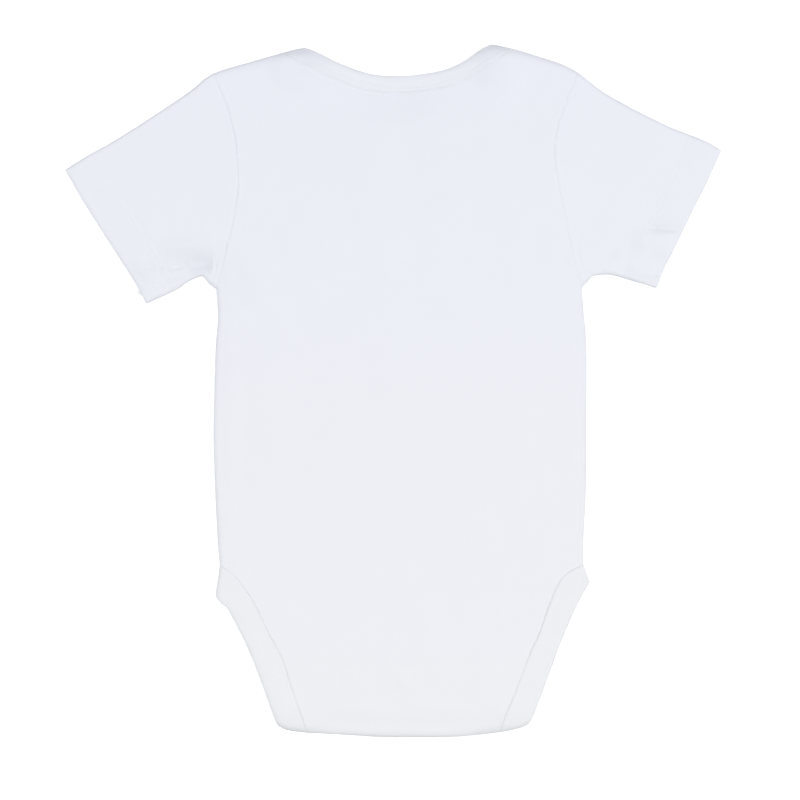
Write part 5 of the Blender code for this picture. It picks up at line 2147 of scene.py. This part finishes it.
@dataclass
class Sleeve(HalfPiece):
    """A set-in sleeve: a flattened tube with a turned and stitched hem."""

    kind: str = "sleeve"
    flat: tuple[float, float] = (0.199, 0.105)
    area: float = 0.0171
    needle_rows: tuple[float, float] = (0.0188, 0.0216)
    hem_step: float = 0.00014
    hem_zone: float = 0.0245
    hem_fade: float = 0.001  # how far past its rows the hem's thickness fades
    row_step: float = 0.0004  # between a row of stitches and the row beyond it
    cuff_curl: float = 0.0017
    cuff_curl_reach: float = 0.0034
    rests_on: str = "studio_floor"
    stitches_seed: int = 41

    @property
    def painted_shades(self) -> tuple[Crease, ...]:
        """The places of painted shade on this sleeve."""
        return LEFT_PAINTED_SHADE if self.half.is_left else RIGHT_PAINTED_SHADE

    @property
    def stitches_name(self) -> str:
        """The name of its hem's stitches."""
        return f"hem_stitches_{self.half.hand.value}"

    def upper_relief(self) -> Forms:
        """Everything that raises or sinks the upper face.

        Returns:
            The forms of relief.
        """
        left = self.half.is_left
        return (
            Unevenness(seed=7 if left else 8),
            CreaseField(LEFT_SLEEVE_CREASES if left else RIGHT_SLEEVE_CREASES),
            SeamRoll(
                self.half.armhole,
                swell=0.0001,
                strengths=LEFT_ARMHOLE_SHOWS if left else RIGHT_ARMHOLE_SHOWS,
                seed=31 if left else 32,
            ),
            Grooves(self.half.cuff, self.needle_rows, step=self.hem_step),
            EdgeRoll(self.half.cuff, self.cuff_curl, self.cuff_curl_reach),
        )

    def lower_relief(self) -> Forms:
        """Everything that lifts the lower face off the ground.

        Returns:
            The forms of relief.
        """
        left = self.half.is_left
        return (
            CreaseField(LEFT_UNDERSIDE_CREASES if left else RIGHT_UNDERSIDE_CREASES),
            SeamRoll(self.half.armhole, swell=0.0, pucker=0.00006, seed=33),
            Grooves(self.half.cuff, self.needle_rows, UNDER_GROOVE, UNDER_GROOVE_REACH),
        )

    def cuff_row(self, depth: float, cuff: Points) -> Points:
        """A row of points across the sleeve this far in from the cuff.

        Args:
            depth: How far in.
            cuff: The cuff's points.

        Returns:
            The row's points in plan.
        """
        top = self.half.sleeve_top.at(self.half.sleeve_top.length - depth) - cuff[0]
        low = self.half.sleeve_lower.at(self.half.sleeve_lower.length - depth) - cuff[-1]
        across = shares(cuff)[:, None]
        return cuff + top * (1 - across) + low * across

    def leaf(self) -> Points:
        """Rows of points in plan, from the armhole out to the cuff.

        Returns:
            The points, in rows and columns.
        """
        half = self.half
        armhole = inset(half.armhole.row(SLEEVE_COLUMNS), SEAM_GAP / 2 * half.hand.inward)[::-1]
        cuff = half.cuff.row(SLEEVE_COLUMNS)
        hem = self.cuff_row(self.hem_zone, cuff)
        marks = []
        for line in (half.sleeve_top, half.sleeve_lower):
            length = line.length - self.hem_zone
            marks.append(line.at(stations(length, SLEEVE_ROWS, FOLD_STEPS)))
        tops, lows = marks
        tops[0], lows[0] = armhole[0], armhole[-1]
        tops[-1], lows[-1] = hem[0], hem[-1]
        body = patch(tops, lows, armhole, hem)
        depths = stations(self.hem_zone, HEM_ROWS, PLAIN, rim_steps(HEM_CLOTH))
        outer = [self.cuff_row(self.hem_zone - depth, cuff) for depth in depths[1:]]
        return np.concatenate([body, np.stack(outer)])

    def ring(self, plan: Points) -> Points:
        """Rows in plan as rings round the flattened tube.

        Args:
            plan: The rows in plan.

        Returns:
            The rows in space, closed round the tube.
        """
        lie = self.shop.lie
        over = lie.upper(plan, self.upper_relief())
        under = lie.lower(plan, self.lower_relief())
        first, last = plan[:, 0], plan[:, -1]
        over[:, 0], over[:, -1] = lie.fold_row(first, 1.0), lie.fold_row(last, 1.0)
        under[:, 0], under[:, -1] = lie.fold_row(first, -1.0), lie.fold_row(last, -1.0)
        top, low = lie.fold_row(first, 0.0)[:, None], lie.fold_row(last, 0.0)[:, None]
        return np.concatenate([top, over, low, under[:, ::-1], top], axis=1)

    def walls(self, rows: int) -> Numbers:
        """Thickness of each row: more where the hem is turned up.

        Args:
            rows: Number of rows.

        Returns:
            The thicknesses.
        """
        walls = np.full(rows, CLOTH)
        outer = HEM_ROWS + len(RIM_TURNS) - 1
        depths = stations(self.hem_zone, HEM_ROWS, PLAIN, rim_steps(HEM_CLOTH))[1:]
        outermost = self.needle_rows[1] + self.hem_fade
        share = between(self.hem_zone - depths, outermost, self.needle_rows[0])
        walls[rows - outer:] += (HEM_CLOTH - CLOTH) * share
        return walls[:, None]

    def stitch_path(self, depth: float) -> StitchPath:
        """One row of hem stitches, all round the sleeve.

        Args:
            depth: How far in from the cuff.

        Returns:
            The row of stitches.
        """
        cuff = self.half.cuff.row(SLEEVE_COLUMNS)
        beyond = self.cuff_row(depth + self.row_step, cuff)
        rows = self.ring(np.stack([beyond, self.cuff_row(depth, cuff)]))
        return StitchPath(rows[1], outward_of(rows[1], rows[0], not self.half.is_left))

    def stitch_paths(self, cloth: Grid) -> list[StitchPath]:
        """The rows of hem stitches."""
        return [self.stitch_path(depth) for depth in self.needle_rows]

    def grids(self) -> list[Grid]:
        """The sleeve's one stretch of cloth."""
        rings = self.ring(self.leaf())
        return [Grid(rings, self.walls(len(rings)), self.half.is_left, (Rim.LAST_ROW,))]


# Loose threads at the left cuff's lower corner, from the cloth out to their ends.
LOOSE_THREADS = (
    table((-151.6, 60.1, 2.1), (-152.9, 60.3, 2.2), (-154, 60.1, 1.7), (-154.6, 59.4, 1.1)),
    table(
        (-151.2, 59.3, 2.1), (-152.6, 59.1, 2.3), (-153.7, 58.6, 1.6), (-154.1, 57.7, 1),
        (-153.7, 56.9, 0.7),
    ),
    table((-150.8, 58.3, 2.1), (-152, 57.8, 2), (-152.8, 57, 1.4), (-153.4, 56.1, 0.9)),
    table(
        (-151.4, 59.7, 2), (-153, 59.7, 2.5), (-153.5, 58.9, 2.4), (-152.7, 58.3, 2.1),
        (-151.3, 58.6, 1.9),
    ),
)


@dataclass
class LooseThreads:
    """A few thread ends that stick out at the left cuff's lower corner."""

    finish: Material
    name: str = "loose_threads_left"
    radius: float = 0.00011
    def build(self) -> Piece:
        """Draw the ends as round curves and turn them into one mesh.

        Returns:
            The dressed piece.
        """
        curve = bpy.data.curves.new(self.name, "CURVE")
        curve.dimensions = "3D"
        curve.bevel_depth = self.radius
        curve.bevel_resolution = 1
        curve.use_fill_caps = True
        for run in LOOSE_THREADS:
            spline = curve.splines.new("NURBS")
            spline.points.add(len(run) - 1)
            for point, place in zip(spline.points, run):
                point.co = (*place, 1.0)
            spline.use_endpoint_u = True
            spline.order_u = 3
            spline.resolution_u = 6
        piece = placed(self.name, curve)
        deselect_all()
        piece.select_set(True)
        bpy.context.view_layer.objects.active = piece
        bpy.ops.object.convert(target="MESH")
        piece = bpy.context.active_object
        piece.data.uv_layers.new(name=CUT_MAP)
        piece.data.shade_smooth()
        dress(piece, self.finish, "jersey")
        return piece


@dataclass
class LegBand(HalfPiece):
    """A ribbed leg band: tab edge, crotch fold, back edge, side fold, front edge."""

    kind: str = "leg_band"
    flat: tuple[float, float] = (0.015, 0.261)
    crown: float = 0.00022
    slot: str = "binding"
    painted_shades: tuple[Crease, ...] = BACK_PAINTED_SHADE

    def across(self) -> Numbers:
        """Shares of the band's width, from its seam to its free edge."""
        marks = stations(LEG_BAND_WIDTH, BAND_COLUMNS, FOLD_STEPS, rim_steps(LEG_BAND_CLOTH))
        return marks / LEG_BAND_WIDTH

    def swell(self) -> Numbers:
        """How far the band stands over the panel, across its width."""
        across = self.across()
        return BAND_PROUD + self.crown * np.sin(math.pi * np.clip(across, 0.0, 1.0)) ** BAND_FULLNESS

    def beside(self, line: Line, marks: Numbers, turn: int, start: Points, blend: float) -> Points:
        """Free edge beside a hidden seam, swinging in from the edge at the fold.

        Args:
            line: The seam.
            marks: Lengths along it.
            turn: +1 where the edge lies inwards, or -1.
            start: The edge's point at the fold.
            blend: Length over which it swings in.

        Returns:
            The edge's points.
        """
        edge = line.beside(marks, LEG_BAND_WIDTH * self.half.hand.inward * turn)
        share = between(marks, 0.0, blend)[:, None]
        return (start + line.at(marks) - line.at(0.0)) * (1 - share) + edge * share

    def grids(self) -> list[Grid]:
        """The band's one stretch of cloth.

        Returns:
            The stretch of cloth.
        """
        half, shop, lie, across = self.half, self.shop, self.shop.lie, self.across()
        seams, edges = half.leg_seam.row(LEG_ROWS), half.leg_edge.row(LEG_ROWS)
        steps = rim_steps(LEG_BAND_CLOTH)
        marks = stations(half.tab_leg.length, TAB_ROWS * 2, FOLD_STEPS, steps)[:0:-1]
        tab_edges = self.beside(half.tab_leg, marks, 1, edges[0], TAB_BAND_BLEND)
        tab_plan = shop.band_plan(half.tab_leg.at(marks), tab_edges, across)
        tab = lie.lower(tab_plan, (), lie.tab_level(tab_plan.reshape(-1, 2)))
        fold = Line(LEFT_BAND_FOLD if half.is_left else RIGHT_BAND_FOLD)
        fold_plan = fold.at((fold.length - FOLD_SEAM_GAP / 2) * (1.0 - across))
        folds = lie.fold_rows(fold_plan, -1.0, 0.0, 1.0)
        back_plan = shop.band_plan(seams[1:-1], edges[1:-1], across)
        shows = LEFT_LEG_SHOWS if half.is_left else RIGHT_LEG_SHOWS
        relief = (
            SeamRoll(half.leg_seam, swell=0.00014, swell_away=0.0013, strengths=shows, seed=51),
            Unevenness(amount=0.00005, length=0.03, seed=52),
            EdgeRoll(half.leg_edge, depth=0.0014, reach=0.0032),
        )
        back = lie.upper(back_plan, relief, self.swell()[None, :])
        nub_plan = shop.band_plan(seams[-1:], edges[-1:], across)[0]
        nub = lie.fold_rows(nub_plan, 1.0, 0.0, -1.0)
        marks = stations(half.front_leg.length, FRONT_LEG_ROWS, FOLD_STEPS, steps)[1:]
        front_edges = self.beside(half.front_leg, marks, -1, edges[-1], FRONT_BAND_BLEND)
        front_plan = shop.band_plan(half.front_leg.at(marks), front_edges, across)
        front = lie.lower(front_plan, (), lie.front_level(front_plan.reshape(-1, 2)))
        rows = np.concatenate([tab, folds, back, nub, front])
        return [Grid(rows, LEG_BAND_CLOTH, half.is_left, BAND_RIMS, wales_along_rows=True)]


@dataclass
class BackNeckBinding(ClothPiece):
    """The back neck band, which runs on over both shoulders along the laps."""

    shop: Wardrobe
    node: str = "neck_binding_back"
    flat: tuple[float, float] = (0.011, 0.285)
    slot: str = "binding"
    rests_on: str = "back_panel_cloth"
    painted_shades: tuple[Crease, ...] = BACK_PAINTED_SHADE
    stitches_name: str = "neck_stitches_back"
    crown: float = 0.00024
    groove: float = 0.00026
    groove_reach: float = 0.0008
    neighbour: float = 0.05  # share of the width between a row and the one beside it

    def across(self) -> Numbers:
        """Shares of the band's width, from its seam to its free edge."""
        marks = stations(NECK_BAND_WIDTH, NECK_BAND_COLUMNS * 2, SEAM_STEPS, rim_steps(NECK_BAND_CLOTH))
        return marks / NECK_BAND_WIDTH

    def pulled_in(self) -> Numbers:
        """Depth of the stitched groove, across the band."""
        away = (1.0 - self.across()) * NECK_BAND_WIDTH - NECK_NEEDLE_ON_BAND
        return self.groove * np.exp(-(away / self.groove_reach) ** 2)

    def swell(self) -> Numbers:
        """How far the band stands over the panel, with its stitched groove."""
        rise = np.sin(math.pi * np.clip(self.across(), 0.0, 1.0)) ** BAND_FULLNESS
        return BAND_PROUD + self.crown * rise - self.pulled_in()

    def under(self, plan: Points, level: Numbers) -> Points:
        """The band where it lies face down, with its stitched groove."""
        groove = np.broadcast_to(self.pulled_in(), plan.shape[:2])
        return self.shop.lie.lower(plan, (), level + groove.reshape(-1))

    def lap_plan(self, half: Half, across: Numbers) -> Points:
        """Rows across the band along a lap, from the neck corner to the armhole.

        Args:
            half: The lap's half.
            across: Shares of the band's width.

        Returns:
            The rows in plan.
        """
        marks = stations(half.lap.length, LAP_ROWS * 2, FOLD_STEPS, rim_steps(NECK_BAND_CLOTH))[1:]
        share = marks / half.lap.length
        clear = np.column_stack([BAND_END_CLEAR * half.hand.inward * share, np.zeros(len(share))])
        edges = half.lap.at(marks) + clear
        seams = half.lap_seam.at(half.lap_seam.length * share) + clear
        return self.shop.band_plan(seams, edges, across)

    def grids(self) -> list[Grid]:
        """The band's one stretch of cloth.

        Returns:
            The stretch of cloth.
        """
        shop, lie = self.shop, self.shop.lie
        seams, edges = shop.neck_rows()
        plan = shop.band_plan(seams, edges, self.across())
        relief = (
            Unevenness(amount=0.00004, length=0.02, seed=61),
            SeamRoll(shop.neck_seam, depth=NECK_SEAM_DEPTH, strengths=NECK_SEAM_SHOWS, seed=15),
            EdgeRoll(shop.neck_edge, depth=0.0018, reach=0.0036),
            shop.neck_corners(),
        )
        neck = lie.upper(plan[1:-1], relief, self.swell()[None, :])
        first = lie.fold_rows(plan[0], -1.0, 0.0, 1.0)
        last = lie.fold_rows(plan[-1], 1.0, 0.0, -1.0)
        left = self.under(self.lap_plan(shop.left, self.across()), PLAIN)[::-1]
        right = self.under(self.lap_plan(shop.right, self.across()), PLAIN)
        rows = np.concatenate([left, first, neck, last, right])
        return [Grid(rows, NECK_BAND_CLOTH, True, BAND_RIMS, wales_along_rows=True)]

    def stitch_paths(self, cloth: Grid) -> list[StitchPath]:
        """The row on the band and the row on the panel."""
        return [self.row_on_band(cloth), self.row_on_panel()]

    def row_on_band(self, grid: Grid) -> StitchPath:
        """The row of stitches along the band.

        Args:
            grid: The band's cloth.

        Returns:
            The row of stitches.
        """
        share = 1.0 - NECK_NEEDLE_ON_BAND / NECK_BAND_WIDTH
        across, points = self.across(), grid.points
        lines = []
        for part in (share, share + self.neighbour):
            column = np.interp(part, across, np.arange(len(across)))
            low = int(column)
            lines.append(points[:, low] + (points[:, low + 1] - points[:, low]) * (column - low))
        return StitchPath(lines[0], outward_of(lines[0], lines[1], not grid.flip))

    def panel_shares(self) -> Numbers:
        """Places across the band of the row past its seam, and of its neighbour."""
        return np.array([0.0, self.neighbour]) - NECK_NEEDLE_ON_PANEL / NECK_BAND_WIDTH

    def row_on_panel(self) -> StitchPath:
        """The row of stitches along the panel, just past the band's seam.

        Returns:
            The row of stitches.
        """
        shop, lie, across = self.shop, self.shop.lie, self.panel_shares()
        seams, edges = shop.neck_rows()
        plan = shop.band_plan(seams, edges, across)
        neck = lie.upper(plan[1:-1], BackPanel(shop).relief())
        left, right = (
            lie.lower(self.lap_plan(half, across), (), PLAIN + UNDER_GROOVE)
            for half in (shop.left, shop.right)
        )
        first, last = (lie.fold_rows(plan[end], 0.0) for end in (0, -1))
        rows = np.concatenate([left[::-1], first, neck, last, right])
        return StitchPath(rows[:, 0], outward_of(rows[:, 0], rows[:, 1], False))


@dataclass
class FrontNeckBinding(BackNeckBinding):
    """The front neck band, from one armhole to the other."""

    node: str = "neck_binding_front"
    flat: tuple[float, float] = (0.01, 0.278)
    rests_on: str = "front_panel_cloth"
    stitches_name: str = "neck_stitches_front"

    def grids(self) -> list[Grid]:
        """The band's one stretch of cloth.

        Returns:
            The stretch of cloth.
        """
        seams, edges = self.shop.front_neck(BAND_END_CLEAR)
        plan = self.shop.band_plan(seams, edges, self.across())
        rows = self.under(plan, self.shop.lie.front_level(plan.reshape(-1, 2)))
        return [Grid(rows, NECK_BAND_CLOTH, False, BAND_RIMS, wales_along_rows=True)]

    def row_on_panel(self) -> StitchPath:
        """The row of stitches along the panel, just past the band's seam.

        Returns:
            The row of stitches.
        """
        seams, edges = self.shop.front_neck(BAND_END_CLEAR)
        plan = self.shop.band_plan(seams, edges, self.panel_shares())
        level = self.shop.lie.front_level(plan.reshape(-1, 2))
        rows = self.shop.lie.lower(plan, (), level + UNDER_GROOVE)
        return StitchPath(rows[:, 0], outward_of(rows[:, 0], rows[:, 1], True))


@dataclass
class Snap:
    """A closed snap: cap under the flap, post, and head over the tab."""

    finish: Material
    cap_radius: float = 0.0048
    cap_thickness: float = 0.0007
    post_radius: float = 0.0019
    head_radius: float = 0.0034
    head_base: float = 0.0044
    head_top: float = 0.0049
    dish: float = 0.0002
    ring_width: float = 0.0009
    edge: float = 0.00012
    sides: int = 40

    def _pick(self, piece: Piece, height: float, radius: float) -> None:
        """Select the flat faces at a height that lie within a radius.

        Args:
            piece: The snap, in edit mode.
            height: The faces' height.
            radius: The radius round the snap's axis.
        """
        bpy.ops.mesh.select_all(action="DESELECT")
        shape = bmesh.from_edit_mesh(piece.data)
        for face in shape.faces:
            centre = face.calc_center_median()
            level = abs(centre.z - height) < self.edge / 2
            face.select_set(level and math.hypot(centre.x, centre.y) < radius)
        bmesh.update_edit_mesh(piece.data)

    def model(self) -> Piece:
        """Model one snap standing at the origin.

        Returns:
            The snap.
        """
        deselect_all()
        bpy.ops.mesh.primitive_cylinder_add(
            vertices=self.sides,
            radius=self.cap_radius,
            depth=self.cap_thickness,
            location=(0.0, 0.0, self.cap_thickness / 2),
        )
        piece = bpy.context.active_object
        bpy.ops.object.transform_apply(location=True, rotation=True, scale=True)
        bpy.ops.object.mode_set(mode="EDIT")
        bpy.ops.mesh.select_mode(type="FACE")
        self._pick(piece, 0.0, self.post_radius)
        bpy.ops.mesh.inset(thickness=self.ring_width)
        bpy.ops.mesh.inset(thickness=self.dish)
        bpy.ops.transform.translate(value=(0.0, 0.0, self.dish))
        self._pick(piece, self.cap_thickness, self.post_radius)
        bpy.ops.mesh.inset(thickness=self.cap_radius - self.post_radius)
        self._extrude(self.head_base - self.cap_thickness)
        self._extrude(0.0)
        grow = self.head_radius / self.post_radius
        bpy.ops.transform.resize(value=(grow, grow, 1.0), center_override=(0.0, 0.0, self.head_base))
        self._extrude(self.head_top - self.head_base)
        bpy.ops.mesh.inset(thickness=self.ring_width)
        bpy.ops.mesh.inset(thickness=self.dish)
        bpy.ops.transform.translate(value=(0.0, 0.0, -self.dish))
        bpy.ops.object.mode_set(mode="OBJECT")
        bevel = piece.modifiers.new("rolled edges", "BEVEL")
        bevel.width = self.edge
        bevel.segments = 3
        bevel.limit_method = "ANGLE"
        bpy.ops.object.modifier_apply(modifier=bevel.name)
        bpy.ops.object.shade_smooth()
        return piece

    @staticmethod
    def _extrude(rise: float) -> None:
        """Extrude the selected faces upwards."""
        bpy.ops.mesh.extrude_region_move(TRANSFORM_OT_translate={"value": (0.0, 0.0, rise)})

    def build(self) -> list[Piece]:
        """Model one snap and set a copy in each of the three places.

        Returns:
            The three snaps.
        """
        first = self.model()
        snaps = []
        for step, side in ((-1, "left"), (0, "middle"), (1, "right")):
            mesh = first.data.copy()
            place = (SNAP_CENTRE_X + step * SNAP_SPACING, SNAP_Y, 0.0)
            points = np.empty(len(mesh.vertices) * 3)
            mesh.vertices.foreach_get("co", points)
            mesh.vertices.foreach_set("co", (points.reshape(-1, 3) + place).ravel())
            snap = placed(f"snap_{side}_lacquered", mesh)
            dress(snap, self.finish, "snap_lacquer", f"snap_{side}")
            snaps.append(snap)
        bpy.data.objects.remove(first)
        return snaps


# ---- studio


@dataclass
class Studio:
    """Camera straight above, pale floor and plain soft light."""

    centre_x: float = 0.00396
    centre_y: float = -0.00546
    frame_width: float = 0.48
    lens: float = 85.0
    sensor: float = 36.0
    outline_height: float = 0.0024
    floor_size: float = 400.0
    floor_below: float = 0.0002
    sky: float = 0.1
    sky_colour: Colour = (0.98, 0.99, 1.0)

    def camera(self) -> None:
        """Hang the camera over the garment, looking straight down."""
        distance = self.frame_width * self.lens / self.sensor
        deselect_all()
        place = (self.centre_x, self.centre_y, self.outline_height + distance)
        bpy.ops.object.camera_add(location=place, rotation=(0.0, 0.0, 0.0))
        camera = bpy.context.active_object
        camera.data.lens = self.lens
        camera.data.sensor_width = self.sensor
        bpy.context.scene.camera = camera

    def floor(self) -> None:
        """Lay the floor just under the cloth."""
        deselect_all()
        bpy.ops.mesh.primitive_plane_add(size=self.floor_size, location=(0, 0, -self.floor_below))
        floor = bpy.context.active_object
        floor.name = "studio_floor"
        floor.data.materials.append(PaleFloor().material())

    @staticmethod
    def softbox(name: str, place: tuple[float, ...], size: float, power: float) -> None:
        """Hang a square soft light that faces the garment.

        Args:
            name: The lamp's name.
            place: Where it hangs.
            size: Length of its side.
            power: Its power in watts.
        """
        deselect_all()
        bpy.ops.object.light_add(type="AREA", location=place)
        lamp = bpy.context.active_object
        lamp.name = name
        lamp.data.shape = "SQUARE"
        lamp.data.size = size
        lamp.data.energy = power
        away = np.array(place) / np.linalg.norm(place)
        tilt = math.acos(away[2])
        turn = math.atan2(away[0], -away[1])
        lamp.rotation_euler = (tilt, 0.0, turn)

    def light(self) -> None:
        """Set the overhead light, the side light and the pale surroundings."""
        self.softbox("overhead_light", place=(0.1, 0.0, 3.2), size=2.6, power=80.7)
        self.softbox("right_light", place=(3.0, 0.0, 2.2), size=2.0, power=48.4)
        self.softbox("left_light", place=(-3.0, 0.0, 2.2), size=2.0, power=37.2)
        world = bpy.data.worlds.new("surroundings")
        world.use_nodes = True
        sky = world.node_tree.nodes["Background"]
        sky.inputs["Color"].default_value = (*self.sky_colour, 1.0)
        sky.inputs["Strength"].default_value = self.sky
        bpy.context.scene.world = world

    def colours(self) -> None:
        """Show the colours as they are."""
        settings = bpy.context.scene.view_settings
        settings.view_transform = "Standard"
        settings.look = "None"
        settings.exposure = 0.0
        settings.gamma = 1.0

    def build(self) -> None:
        """Set up the whole studio."""
        self.camera()
        self.floor()
        self.light()
        self.colours()


def main() -> None:
    """Build every piece of the bodysuit and the studio round it."""
    logging.basicConfig(level=logging.INFO, format="%(message)s")
    jersey = Knit("cotton_jersey", crest=(0.784, 0.794, 0.844), crevice=(0.739, 0.749, 0.799))
    rib = Knit(
        "cotton_rib",
        crest=(0.785, 0.794, 0.837),
        crevice=(0.74, 0.749, 0.792),
        rib=0.0014,
        relief=0.00008,
    )
    left, right = Half(Hand.LEFT), Half(Hand.RIGHT)
    shop = Wardrobe(
        left=left,
        right=right,
        lie=Lie((left, right)),
        jersey=jersey.material(),
        rib=rib.material(),
        thread=Thread().material(),
        stitch=Stitch(),
    )
    Studio().build()
    BackPanel(shop).build()
    FrontPanel(shop).build()
    for half in (left, right):
        Sleeve(shop, half).build()
        LegBand(shop, half).build()
    LooseThreads(shop.thread).build()
    BackNeckBinding(shop).build()
    FrontNeckBinding(shop).build()
    Snap(Lacquer().material()).build()


if __name__ == "__main__":
    main()
